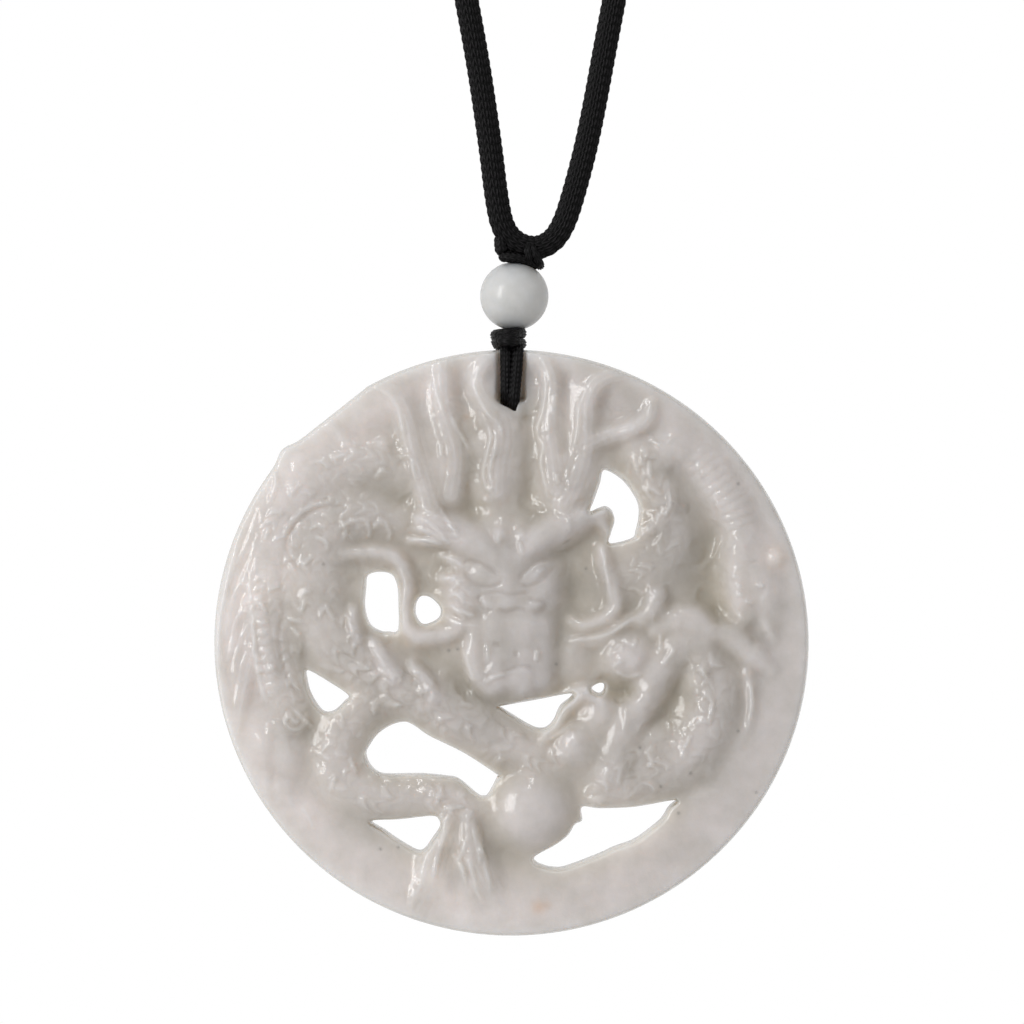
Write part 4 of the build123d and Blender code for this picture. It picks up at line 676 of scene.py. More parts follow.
# Fine raised threads, as paths
THREAD_WIDE = 1.0
THREAD_HIGH = 0.026
THREAD_ENDS = 6
THREAD_END_LEAST = 0.2
THREADS = [
    # Horns, curls and mane
    ((-45, 86), (-41, 83), (-38, 79), (-37, 74), (-36, 66)), ((-33.4, 62), (-32.8, 58), (-32, 55)),
    ((-26, 87), (-24, 80), (-22.4, 75)), ((-20, 76), (-17, 70), (-13.4, 64)), ((-24, 67), (-23.5, 62)),
    ((-13.4, 88), (-12, 84), (-8.5, 78), (-5, 74)),
    ((-8.6, 74), (-7, 69), (-8.4, 63), (-9.6, 57), (-8, 51.5), (-6.4, 52)),
    ((-5.4, 66), (-7.5, 58), (-6.6, 53)), ((-5.6, 76), (-3, 70)),
    ((10, 91), (11.2, 87), (10.6, 80), (8.6, 71), (10.4, 66), (9.8, 60), (11.5, 52), (12.2, 46)),
    ((14.6, 84), (14, 76)), ((22.4, 82), (22, 72), (21, 65)), ((15, 57), (16, 53)),
    ((-34.6, 35), (-28, 34.6), (-22, 32)), ((-33, 38.4), (-27, 37), (-20, 33)),
    ((-30, 42), (-25, 38), (-21, 34)), ((-25, 47), (-21, 41), (-17.6, 35)),
    # Cheek
    ((-21.5, 17), (-17, 21)), ((-20.5, 13), (-15, 7.4)), ((-19, 17), (-15.4, 13)), ((-19, 11.4), (-12, 9)),
    ((-23, 20.6), (-20.4, 22.6), (-18.6, 21.4)), ((-21.6, 15.6), (-18.4, 16.8), (-15, 15)),
    ((-22.4, 24), (-19.6, 25.2), (-17.6, 24.2)),
    # The arch at the upper left
    ((-60, 47.4), (-67, 46), (-73, 41.6), (-77, 35.4)), ((-57.6, 42), (-55.4, 38), (-56.4, 34.6)),
    ((-49, 41.4), (-47.4, 37.6), (-48, 35)), ((-42.4, 40.6), (-40.6, 36.8), (-41.4, 34.6)),
    ((-66, 36), (-62.4, 34.2), (-61.4, 31)),
    # Face
    ((-5, 36), (-4, 33.4)), ((2.4, 34), (3.6, 30)), ((-16, -2.5), (-14.4, -8), (-12.6, -13)),
    ((8.6, -2), (8.3, -6.4)), ((-8.2, -0.6), (-8, -5.6)),
    # Belly strips
    ((73.8, 22.8), (75.4, 21.6)), ((75.2, 19.2), (77.2, 18.4)), ((75, 16.6), (77.2, 16)),
    ((78.2, 14), (80.8, 13.4)), ((82.6, 19.8), (84.8, 19)), ((76, 10), (77.6, 7.4)),
    # Beard and whiskers
    ((-9.5, -13.5), (-5, -11), (-1.5, -10)), ((-38, 26), (-36, 21), (-36.2, 15), (-37, 9)),
    ((31, 30), (31.4, 25), (32.6, 19), (33, 14)), ((20, 1.5), (28, 2), (34, 4), (40, 8)),
    # Left side and rim
    ((-55, 9), (-53, 3)), ((-47, -1), (-44, -5), (-42, -9.4)), ((-74, 5.5), (-70.6, 2)),
    ((-75, 8.6), (-70, 7)), ((-87.6, 24), (-87.3, 13), (-86.4, 2), (-85.2, -9), (-83.4, -17), (-81.6, -21)),
    ((-79.6, 59), (-79, 53), (-81.4, 47)), ((-91, 36), (-95.5, 20), (-98, 5), (-98, -10)),
    # Neck, joint and right paw
    ((41, 62), (42, 57)), ((46, 62), (46.6, 55)), ((44, 52), (47, 48)), ((52.5, 51), (53, 46), (51, 42)),
    ((46, 69), (50, 66)), ((50, 3), (49.5, -3)), ((33.4, -0.8), (32.2, -4.8)), ((37, 0), (36.4, -3)),
    ((41.8, 2), (41, -1)), ((33.4, -8.4), (36.6, -5.8)), ((34, -9), (39, -11.4), (44, -10)),
    # Right arm and coil
    ((55, -1.4), (50.4, -7.6)), ((63, -8), (65.6, -12.6)), ((60.4, -30), (57.6, -35.4)),
    ((50, -38), (45.6, -41.4)), ((67.4, -20), (66.4, -26)),
    # Tuft
    ((-26, -66), (-29, -77), (-33.4, -88)), ((-21.6, -62), (-24.6, -70), (-26.4, -80)),
    ((-10, -66), (-8.4, -76), (-6.4, -84)), ((-14.6, -70), (-12.4, -80), (-9.6, -88)),
    # Body and left coil
    ((-58, 38), (-53.4, 41), (-48, 41.6)), ((-70, 26), (-66.4, 29.6)), ((-62, 12), (-59, 7.4)),
    ((-69, 16), (-71, 10)), ((-52, -6), (-47, -8.4)), ((-60, 62), (-54.6, 63.6)), ((-74, 50), (-70.4, 54)),
    ((-83, 34), (-81.4, 38.6)),
    # Right rim and knob
    ((80, -13), (80.6, -20), (79, -28)), ((9, -33), (14, -26), (17, -20)), ((12, -33), (20, -27)),
    # The tuft's ends
    ((-19.6, -70), (-17, -75.6), (-15, -81)), ((-11.6, -60), (-10.4, -66), (-9.4, -72)),
    ((-27.6, -68), (-29.6, -74), (-31, -79)), ((-32.6, -80), (-34, -89)), ((-15, -66), (-18, -73)),
    ((-17.4, -73), (-15.6, -78)), ((-13, -61), (-11, -68), (-10.4, -75)),
    # Tail and crossing
    ((-66, -36), (-60, -39.4)), ((-54, -38), (-52, -44)), ((-59, -44), (-61, -50)),
    ((-24, -50), (-25, -54)), ((-73, -22), (-66, -29)), ((-17, -20), (-13, -21)), ((-70, -54), (-66, -62)),
]
# Fine grooves: the outlines of the eyes, the nose and the mouth, and lines cut between forms
GROOVE_DEEP = 0.016
GROOVES = [
    # Eyes
    ((-16.5, 25.4), (-15, 27.6), (-11.3, 27.2), (-7, 25), (-3.3, 21.8)),
    ((-16.5, 25), (-15, 22.6), (-12.3, 20.2), (-8.1, 19.2), (-4.4, 19.8), (-3.3, 21.6)),
    ((2.5, 20.2), (3.5, 22.8), (6.7, 26), (10.3, 27.9), (14, 28.1)),
    ((2.7, 19.8), (5.6, 19.2), (9.3, 20.7), (12.4, 23.4), (14.6, 26.5)),
    ((6.1, 22.4), (8.3, 24.6), (10.9, 25.6), (11.9, 24.6), (9.8, 22.6), (7.2, 21.4)),
    # Nose
    ((-9.6, 16.6), (-10.8, 15), (-10, 12.8), (-8.1, 11), (-6, 11.8)),
    ((-6, 11.6), (-1.7, 10.8), (2.4, 11.6), (6, 10.8)),
    ((5, 16), (7, 14.6), (10.3, 14.2), (11, 12), (8.8, 10.4), (6, 11)),
    ((-9.2, 16.8), (-4.9, 17.4), (-0.7, 16.4), (3.5, 16.8), (7.7, 18.4)),
    # Mouth, chin and the lines of the left side
    ((-6.4, 0.4), (-5, -0.6), (-4, 0)), ((1.2, -2.4), (1.8, -4.4)),
    ((-55, 45.6), (-62, 46), (-68, 43.6), (-73, 38.6), (-75.6, 33.4), (-73.6, 28), (-69, 24)),
    ((-76, 14), (-78, 2), (-75.6, -10), (-70, -20)), ((-3, -9.6), (3, -7.6), (8, -8.8)),
]
SPECKS = (
    (76, -29.5), (43, -35), (50, -48), (60, -43.5), (56, -57), (76, 53.5), (-63, 26.5), (-18, -2),
    (-21, -2.5), (15, -7), (25, 25), (82, -50), (-44, -69), (-38, -68.5),
)

# Bars with a plain surface
SMOOTH = (
    "belly_inner", "belly_outer", "forearm", "shoulder_band", "flame", "whisker_left", "whisker_right",
    "whisker_knob",
)


def chance(i, j):
    """A share between 0 and 1 that looks random, for a cell."""
    return np.modf(np.abs(np.sin(i * 12.9898 + j * 78.233)) * 43758.5453)[0]


def scales(run, across):
    """Overlapping scales with curved front edges, each as high as chance has it."""
    column = np.floor(across / SCALE_WIDE)
    x = 2 * (across / SCALE_WIDE - column) - 1
    wander = SCALE_WANDER * np.sin(SCALE_TURN * across + SCALE_DRIFT * run)
    s = (run + wander) / SCALE_LONG + 0.5 * np.mod(column, 2) + SCALE_CURVE * (1 - x * x)
    row = np.floor(s)
    y = s - row
    rise = y * np.clip((1 - y) / SCALE_FRONT, 0, 1)
    return rise * (1 - np.abs(x) ** 5) * (SCALE_LEAST + SCALE_SPREAD * chance(row, column) ** SCALE_RARE)


def plates(run, across):
    """Even bars across a belly."""
    return np.abs(np.sin(math.pi * run / PLATE_LONG)) ** 0.8


def hair(run, across):
    """Fine locks along a stroke."""
    return 0.5 + 0.5 * np.cos(2 * math.pi * across / HAIR_STEP + 0.9 * np.sin(run / HAIR_WAVE))


SKINS = {"scales": (scales, SCALE_HIGH), "plates": (plates, PLATE_HIGH), "hair": (hair, HAIR_HIGH)}


def add_skin(z, u, v, stroke, skin):
    """Adds a skin to the crown of a bar, fading towards its sides."""
    pattern, high = SKINS[skin]
    curve = smooth_path(stroke.path)
    near = around(u, v, curve, max(stroke.wide))
    far, side, share, run = nearest(u[near], v[near], curve)
    q = np.clip(far / along(stroke.wide, share), 0, 1)
    level = z[near]
    reach = np.clip(SKIN_HOLD - np.abs(level - pressed(along(stroke.high, share))) / SKIN_DROP, 0, 1)
    z[near] = level + high * pattern(run, side * far) * (1 - q ** 4) * reach


def skinned(z, u, v):
    """Heights with scales, plates, hair and fine threads added."""
    for coil in COILS:
        if coil.name not in SMOOTH:
            add_skin(z, u, v, coil, "plates" if coil.name.startswith("belly") else "scales")
    strokes = [lock for lock in LOCKS if max(lock.wide) > HAIR_LEAST_WIDE and lock.name not in SMOOTH]
    for fan in FANS:
        strokes += list(fan_strokes(fan))
    for stroke in strokes:
        add_skin(z, u, v, stroke, "hair")
    for paths, high in ((THREADS, THREAD_HIGH), (GROOVES, -GROOVE_DEEP)):
        for path in paths:
            curve = smooth_path(path)
            near = around(u, v, curve, THREAD_WIDE)
            far, _, share, _ = nearest(u[near], v[near], curve)
            end = np.clip(np.minimum(share, 1 - share) * THREAD_ENDS, THREAD_END_LEAST, 1)
            z[near] += high * end * np.clip(1 - (far / THREAD_WIDE) ** 2, 0, 1)
    return z


def new_mesh(name, places, faces, body):
    """A mesh object that rides on a body."""
    mesh = bpy.data.meshes.new(name)
    mesh.from_pydata([tuple(p) for p in places], [], [tuple(int(i) for i in f) for f in faces])
    mesh.polygons.foreach_set("use_smooth", [True] * len(mesh.polygons))
    piece = new_object(name, mesh)
    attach(piece, body)
    return piece


# Lines that cords follow
def route_curve(name, route):
    """A NURBS curve along a route's points."""
    data = bpy.data.curves.new(name, "CURVE")
    data.dimensions = "3D"
    data.resolution_u = 24
    spline = data.splines.new("NURBS")
    spline.points.add(len(route) - 1)
    for point, place in zip(spline.points, route):
        point.co = (*place, 1)
    spline.order_u = 3
    spline.use_endpoint_u = True
    return new_object(name, data)


def curve_line(curve):
    """The points along a curve with no bevel."""
    mesh = bpy.data.meshes.new_from_object(curve)
    line = np.array([v.co for v in mesh.vertices])
    bpy.data.meshes.remove(mesh)
    return line


def even_line(line, step, closed=False):
    """Points evenly spaced along a line."""
    if closed:
        line = np.vstack([line, line[:1]])
    runs = np.concatenate([[0], np.cumsum(np.linalg.norm(np.diff(line, axis=0), axis=1))])
    count = max(3, round(runs[-1] / step))
    at = np.linspace(0, runs[-1], count, endpoint=not closed)
    return np.column_stack([np.interp(at, runs, line[:, k]) for k in range(3)]), at


def carried_frames(line, closed=False):
    """Two directions across a line, turned as little as possible from one point to the next."""
    if closed:
        ahead = np.roll(line, -1, axis=0) - np.roll(line, 1, axis=0)
    else:
        ahead = np.gradient(line, axis=0)
    ahead /= np.linalg.norm(ahead, axis=1)[:, None]
    start = np.cross(ahead[0], (0.0, 1.0, 0.0))
    if np.linalg.norm(start) < 0.1:
        start = np.cross(ahead[0], (1.0, 0.0, 0.0))
    across = [start / np.linalg.norm(start)]
    for t in ahead[1:]:
        n = across[-1] - t * np.dot(across[-1], t)
        across.append(n / np.linalg.norm(n))
    across = np.array(across)
    return across, np.cross(ahead, across)


BRAID_SLANT = 0.9
COLUMN_ROUND = 0.45
STITCH_ROUND = 0.6
Weave = namedtuple("Weave", "columns stitch depth")
NECK_WEAVE = Weave(24, 0.78 * MM, 0.20 * MM)
THIN_WEAVE = Weave(12, 0.46 * MM, 0.12 * MM)


def braid(turn, run, columns, stitch):
    """Height of a braid's surface between 0 and 1: slanted stitches in columns that lean by turns."""
    column = turn * columns
    x = column - np.floor(column) - 0.5
    lean = np.where(np.mod(np.floor(column), 2) == 0, 1.0, -1.0)
    phase = run / stitch + lean * x * BRAID_SLANT
    column_round = np.abs(np.cos(math.pi * x)) ** COLUMN_ROUND
    return column_round * np.abs(np.cos(math.pi * phase)) ** STITCH_ROUND


def woven_tube(name, line, runs, radius, look, sides, slot, closed=False):
    """A tube along a line with its braid worked into its surface."""
    across, over = carried_frames(line, closed)
    turn = np.arange(sides) / sides
    angle = 2 * math.pi * turn
    grid_turn, grid_run = np.meshgrid(turn, runs)
    height = braid(grid_turn, grid_run, look.columns, look.stitch)
    reach = radius - look.depth * (1 - height)
    side = np.cos(angle)[None, :, None] * across[:, None, :] + np.sin(angle)[None, :, None] * over[:, None, :]
    places = (line[:, None, :] + side * reach[:, :, None]).reshape(-1, 3)
    rings = len(line)
    last = rings if closed else rings - 1
    k, j = np.meshgrid(np.arange(last), np.arange(sides), indexing="ij")
    k, j = k.ravel(), j.ravel()
    nk, nj = (k + 1) % rings, (j + 1) % sides
    faces = np.column_stack([k * sides + j, k * sides + nj, nk * sides + nj, nk * sides + j])
    faces = faces.tolist()
    if not closed:
        faces.append(list(range(sides))[::-1])
        faces.append([(rings - 1) * sides + i for i in range(sides)])
    piece = new_mesh(name, places, faces, "holder")
    piece.data.materials.append(cord_material(slot))
    groove = piece.data.attributes.new("groove", "FLOAT", "POINT")
    groove.data.foreach_set("value", (1 - height).ravel())
    return piece


# The neck cord's core fills its jackets up to just under the braid
CORE_RADIUS = NECK_CORD_DIAMETER / 2 - 1.25 * NECK_WEAVE.depth

# The neck cord's jacket is finer over the fold than on its two sides: step along it and sides round it
FOLD_REACH = 0.035
SIDE_STEP, SIDE_COUNT = 0.195 * MM, 48
FOLD_STEP, FOLD_COUNT = 0.13 * MM, 96


def make_neck_cord():
    core = route_curve("neck_cord_core", ROUTE)
    line = curve_line(core)
    core.data.bevel_depth = 1
    for point in core.data.splines[0].points:
        point.radius = CORE_RADIUS
    core.data.bevel_resolution = 3
    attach(core, "holder")
    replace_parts(core, "neck_cord")
    length = float(np.sum(np.linalg.norm(np.diff(line, axis=0), axis=1)))
    low, high = 0.5 - FOLD_REACH / length, 0.5 + FOLD_REACH / length
    for name, first, last, step, sides in (("jacket_left", 0, low, SIDE_STEP, SIDE_COUNT),
                                           ("jacket_fold", low, high, FOLD_STEP, FOLD_COUNT),
                                           ("jacket_right", high, 1, SIDE_STEP, SIDE_COUNT)):
        places, runs = even_line(line, step)
        kept = (runs >= first * length - step) & (runs <= last * length + step)
        radius = NECK_CORD_DIAMETER / 2
        woven_tube("neck_cord_" + name, places[kept], runs[kept], radius, NECK_WEAVE, sides,
                                  "braided_cord")
    sleeve = make_sleeve()
    core.data.materials.append(cord_material("braided_cord"))


# The sleeve's winding: rings a turn, places round it, how its ends taper and how deep its grooves are
SLEEVE_RINGS = 12
SLEEVE_SIDES = 64
SLEEVE_END = 0.42
SLEEVE_TAPER = 7
SLEEVE_ROUND = 0.6
SLEEVE_GROOVE = 0.3 * THIN_CORD_DIAMETER


def ring_faces(first, second, sides):
    """The faces between two rings of places, from the places that the rings start at."""
    return [(first + k, first + (k + 1) % sides, second + (k + 1) % sides, second + k) for k in range(sides)]


def make_sleeve():
    """The join at the nape: thin cord wound round both ends."""
    middle = (SLEEVE_LOW + SLEEVE_HIGH) / 2
    half = (SLEEVE_HIGH.x - SLEEVE_LOW.x) / 2
    radius = (SLEEVE_HIGH.z - SLEEVE_LOW.z) / 2
    turns = round(2 * half / THIN_CORD_DIAMETER)
    rings = turns * SLEEVE_RINGS + 1
    sides = SLEEVE_SIDES
    stations = np.linspace(-1, 1, rings)
    wave = np.abs(np.sin(np.pi * turns * (stations + 1) / 2)) ** SLEEVE_ROUND
    taper = np.sqrt(np.clip(1 - np.abs(stations) ** SLEEVE_TAPER, 0, 1))
    reach = radius * (SLEEVE_END + (1 - SLEEVE_END) * taper) - SLEEVE_GROOVE * (1 - wave)
    angle = np.linspace(0, 2 * math.pi, sides, endpoint=False)
    places = [(middle.x + half * a, middle.y + r * math.cos(t), middle.z + r * math.sin(t))
              for a, r in zip(stations, reach) for t in angle]
    faces = []
    for k in range(rings - 1):
        faces += ring_faces(k * sides, (k + 1) * sides, sides)
    faces += [list(range(sides))[::-1], [(rings - 1) * sides + j for j in range(sides)]]
    piece = new_mesh("nape_sleeve", places, faces, "holder")
    piece.data.materials.append(cord_material("braided_cord"))
    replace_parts(piece, "nape_knot")
    return piece


# The thin cords
LOOP_HALF_DEPTH = (LOOP_HIGH.y - LOOP_LOW.y) / 2 - THIN_CORD_DIAMETER / 2
LOWER_CORNER = 1.25 * MM
UPPER_CORNER = 2.5 * MM
STRAND_RADIUS = 0.55 * MM
STRAND_SIDES = 48
STRAND_BEND = 1.5
CORNER_STEPS = 13
LINE_STEP = 0.3 * MM
WEAVE_STEP = 0.06 * MM

# How each strand is led: its shift sideways, how much more it shifts and comes forward at its lower end,
# and how low that end is
Strand = namedtuple("Strand", "name place shift forward lower")
STRANDS = [
    Strand("loop_strand_left", 0.03 * MM, 0.05 * MM, -0.05 * MM, 0.02 * MM),
    Strand("loop_strand_right", 0.06 * MM, -0.46 * MM, 0.30 * MM, 0.40 * MM),
]


def loop_line(x, strand):
    """The closed line of a loop strand: a box with round corners, drawn in sideways at its lower end."""
    low, high = LOOP_LOW.z + THIN_CORD_DIAMETER / 2 - strand.lower, LOOP_HIGH.z - THIN_CORD_DIAMETER / 2
    corners = [(1, low, LOWER_CORNER, -90), (1, high, UPPER_CORNER, 0),
               (-1, high, UPPER_CORNER, 90), (-1, low, LOWER_CORNER, 180)]
    line = []
    for side, level, corner, first in corners:
        y = side * (LOOP_HALF_DEPTH - corner)
        z = level + corner if level == low else level - corner
        for turn in np.radians(np.linspace(first, first + 90, CORNER_STEPS)):
            place = (x + strand.place, BRIDGE_Y + y + corner * math.cos(turn), z + corner * math.sin(turn))
            line.append(place)
    line, _ = even_line(np.array(line), LINE_STEP, closed=True)
    down = np.clip((high - line[:, 2]) / (high - low), 0, 1)
    line[:, 0] += strand.shift * down ** STRAND_BEND
    line[:, 1] -= strand.forward * down ** STRAND_BEND * (line[:, 1] < BRIDGE_Y)
    return line


def make_loop_strands():
    for strand in STRANDS:
        low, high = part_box(strand.name)
        places, runs = even_line(loop_line((low[0] + high[0]) / 2, strand), WEAVE_STEP, closed=True)
        piece = woven_tube(strand.name + "_cord", places, runs, STRAND_RADIUS, THIN_WEAVE, STRAND_SIDES,
                           "thin_cord", closed=True)
        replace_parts(piece, strand.name)


# The wound cord: turns round the strands under the bead and round the neck cord's fold over it
Turn = namedtuple("Turn", "node name at_x at_y lean reach deep radius")
TURNS = [
    Turn("lower_knot", "upper", 508.4, 334.4, 5, 1.12 * MM, 2.0 * MM, 0.54 * MM),
    Turn("lower_knot", "lower", 508.8, 342.6, -5, 1.08 * MM, 2.55 * MM, 0.54 * MM),
    Turn("lower_knot", "crossing", 508.6, 338.8, 30, 1.14 * MM, 2.45 * MM, 0.46 * MM),
    Turn("hitch", "right_turn", 535.0, 254.5, -66, 1.06 * MM, 1.06 * MM, 0.44 * MM),
    Turn("hitch", "right_turn_inner", 528.5, 254.0, -80, 0.92 * MM, 1.12 * MM, 0.44 * MM),
]

# The hitch's bars: places on the photograph, and how far in front of the bridge's plane
HITCH_BARS = {
    "hitch_bar": ((498.8, 256.6, 0.45), (508, 257.6, 0.85), (519, 258.6, 0.85), (530, 261.5, 0.7),
                  (539.4, 266.4, 0.2)),
    "hitch_block": ((501, 234, 0.2), (500.6, 247, 0.5), (503, 256, 0.3)),
    "hitch_block_back": ((502, 238, -0.4), (501.8, 248, -0.5), (505, 255, -0.4)),
}
HITCH_BAR_RADIUS = 0.50 * MM
HITCH_BLOCK_RADIUS = 0.66 * MM
KNOT_MIDDLE_RADIUS = 0.9 * MM
TURN_SIDES = 40
TURN_PLACES = 72
TURN_STEP = 0.07 * MM
ROD_END = 0.02
THREAD_RISE = 0.4 * MM


def from_photo(x, y, forward=0):
    """The place that a pixel of the photograph shows, some millimetres in front of the bridge's plane."""
    return Vector(((x - DISC_PIXEL_X) * PIXEL, BRIDGE_Y - forward * MM, DISC_Z + (DISC_PIXEL_Y - y) * PIXEL))


def make_turns():
    """Closed turns of thin cord, each round an axis that leans from the vertical."""
    for turn in TURNS:
        centre = from_photo(turn.at_x, turn.at_y)
        lean = math.radians(turn.lean)
        side = Vector((math.cos(lean), 0, math.sin(lean)))
        ring = [centre + side * turn.reach * math.cos(t) + Vector((0, turn.deep * math.sin(t), 0))
                for t in np.linspace(0, 2 * math.pi, TURN_PLACES, endpoint=False)]
        places, runs = even_line(np.array(ring), TURN_STEP, closed=True)
        piece = woven_tube(turn.node + "_" + turn.name, places, runs, turn.radius, THIN_WEAVE, TURN_SIDES,
                           "thin_cord", closed=True)
        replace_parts(piece, turn.node)


def make_rod(name, node, line, radius):
    """A short stretch of thin cord with round ends."""
    places, runs = even_line(np.array(line), WEAVE_STEP)
    room = np.clip(np.minimum(runs, runs[-1] - runs) / radius, ROD_END, 1)
    reach = radius * np.sqrt(1 - (1 - room) ** 2)[:, None]
    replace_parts(woven_tube(name, places, runs, reach, THIN_WEAVE, TURN_SIDES, "thin_cord"), node)


def make_wound_parts():
    make_turns()
    knot = (KNOT_LOW + KNOT_HIGH) / 2
    line = [(knot.x, knot.y, KNOT_LOW.z), (knot.x, knot.y, KNOT_HIGH.z)]
    make_rod("lower_knot_middle", "lower_knot", line, KNOT_MIDDLE_RADIUS)
    for name, places in HITCH_BARS.items():
        curve = route_curve(name + "_line", [from_photo(*place) for place in places])
        radius = HITCH_BLOCK_RADIUS if "block" in name else HITCH_BAR_RADIUS
        make_rod(name, "hitch", curve_line(curve), radius)
        bpy.data.objects.remove(curve)
    low, high = (Vector(corner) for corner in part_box("bead_thread"))
    axis = (low + high) / 2
    line = [(axis.x, axis.y, low.z), (axis.x, axis.y, high.z + THREAD_RISE)]
    make_rod("bead_thread_cord", "bead_thread", line, (high.x - low.x) / 2)


def new_material(name):
    """A material with nodes, its shader, and a function that adds a node with its inputs set."""
    material = bpy.data.materials.new(name)
    material.use_nodes = True
    nodes = material.node_tree.nodes

    def add_node(kind, **inputs):
        node = nodes.new("ShaderNode" + kind)
        for key, value in inputs.items():
            node.inputs[key].default_value = value
        return node

    return material, nodes["Principled BSDF"], add_node, material.node_tree.links


def cord_material(slot):
    """Black cord: painted shade between its stitches and painted light on their crowns, with a slight sheen.
    """
    name = {"braided_cord": "neck_cord_look", "thin_cord": "thin_cord_look"}[slot]
    if name in bpy.data.materials:
        return bpy.data.materials[name]
    material, shader, add_node, links = new_material(name)
    groove = add_node("Attribute")
    groove.attribute_name = "groove"
    # Painted light on the stitch crowns, painted shade down in the grooves
    stitch_shade = add_node("ValToRGB")
    stitch_shade.color_ramp.elements[0].color = (0.016, 0.014, 0.016, 1)
    stitch_shade.color_ramp.elements[1].position = 0.45
    stitch_shade.color_ramp.elements[1].color = (0.0006, 0.0006, 0.0006, 1)
    links.new(groove.outputs["Fac"], stitch_shade.inputs["Fac"])
    links.new(stitch_shade.outputs["Color"], shader.inputs["Base Color"])
    shader.inputs["Roughness"].default_value = 0.36
    shader.inputs["Specular IOR Level"].default_value = 0.12
    fibre = add_node("TexNoise", Scale=9000, Detail=2)
    bump = add_node("Bump", Strength=0.25, Distance=0.00003)
    links.new(fibre.outputs["Fac"], bump.inputs["Height"])
    links.new(bump.outputs["Normal"], shader.inputs["Normal"])
    return material


# The stone
def even_steps(curve, step):
    """Points evenly spaced along a closed curve."""
    ring = np.vstack([curve, curve[:1]])
    runs = np.concatenate([[0], np.cumsum(np.hypot(*np.diff(ring, axis=0).T))])
    count = max(8, round(runs[-1] / step))
    at = np.linspace(0, runs[-1], count, endpoint=False)
    return np.column_stack([np.interp(at, runs, ring[:, 0]), np.interp(at, runs, ring[:, 1])])


def kept_triangles(places, outline, rings):
    """Triangles between the places, without those outside the outline or inside a hole."""
    _, _, faces, _, _, _ = delaunay_2d_cdt([Vector(p) for p in places], [], [], 0, 1e-7, False)
    triangles = np.array(faces)
    a, b, c = (places[triangles[:, k]] for k in range(3))
    u, v = ((a + b + c) / 3).T
    room = np.minimum(polygon_distance(u, v, outline), hole_distance(u, v, rings))
    area = (b[:, 0] - a[:, 0]) * (c[:, 1] - a[:, 1]) - (b[:, 1] - a[:, 1]) * (c[:, 0] - a[:, 0])
    triangles = np.where((area < 0)[:, None], triangles[:, ::-1], triangles)
    return triangles[(room > 0) & (np.abs(area) > LEAST_AREA)]


# The cord's hole has an edge this many times sharper than the others
CORD_EDGE = 4.0

# How near an edge the even places stay close together, also on the calm rim
EDGE_ZONE = 4.0

# The rows of the back's bevel, as shares of a quarter turn
BEVEL_ROWS = (0.0, 0.3, 0.6, 0.85, 1.0)

# How far in the rows of places that follow an edge lie, and where the even places start, in steps
EDGE_ROWS = (0.35, 0.85, 1.4)
EDGE_ROOM = 1.9
LEAST_ROOM = 0.245

# How far the cord hole's wall goes down from the front to the back, so that the strands fill the hole
CORD_LIP_SLANT = 7.0


def rows_beside(curve, inward, step):
    """Rows of places along a closed curve, on its inner or outer side."""
    ahead = np.roll(curve, -1, axis=0) - np.roll(curve, 1, axis=0)
    ahead /= np.hypot(*ahead.T)[:, None]
    u, v = curve.T
    turns_left = np.sum(u * np.roll(v, -1) - np.roll(u, -1) * v) > 0
    side = np.column_stack([-ahead[:, 1], ahead[:, 0]]) * (1 if turns_left == inward else -1)
    return [curve + side * row * step for row in EDGE_ROWS]


def stone_front():
    """The front's places, first those of its borders, its triangles and the borders: outline and holes."""
    step = CARVING_STEP / SHARE
    angles = np.linspace(-180, 180, round(2 * math.pi * 100 / step), endpoint=False)
    reach = edge_radius(angles)
    outline = np.column_stack([reach * np.cos(np.radians(angles)), reach * np.sin(np.radians(angles))])
    rings = [even_steps(smooth_path(points, closed=True), step) for points in HOLES.values()]
    count = int(GRID_REACH / step / ROW_RISE)
    i, j = np.meshgrid(np.arange(-count, count + 1), np.arange(-count, count + 1))
    u = (i + 0.5 * (j % 2)) * step
    v = j * step * ROW_RISE
    # Every second place of the even grid is enough on the calm rim
    spaced = (i % 2 == 0) & (j % 4 == 0) | ((i + 1) % 2 == 0) & (j % 4 == 2)
    calm = np.hypot(u, v) > rim_start(u, v) + CALM_MARGIN
    room = np.minimum(outline_distance(u, v), hole_distance(u, v, rings))
    kept = (room > EDGE_ROOM * step) & (spaced | ~calm | (room < EDGE_ZONE))
    rows = rows_beside(outline, True, step)
    for ring in rings:
        rows += rows_beside(ring, False, step)
    rows = np.vstack(rows)
    clear = np.minimum(outline_distance(*rows.T), hole_distance(*rows.T, rings)) > LEAST_ROOM * step
    flat = np.vstack([outline] + rings + [rows[clear], np.column_stack([u[kept], v[kept]])])
    return flat, kept_triangles(flat, outline, rings), outline, rings


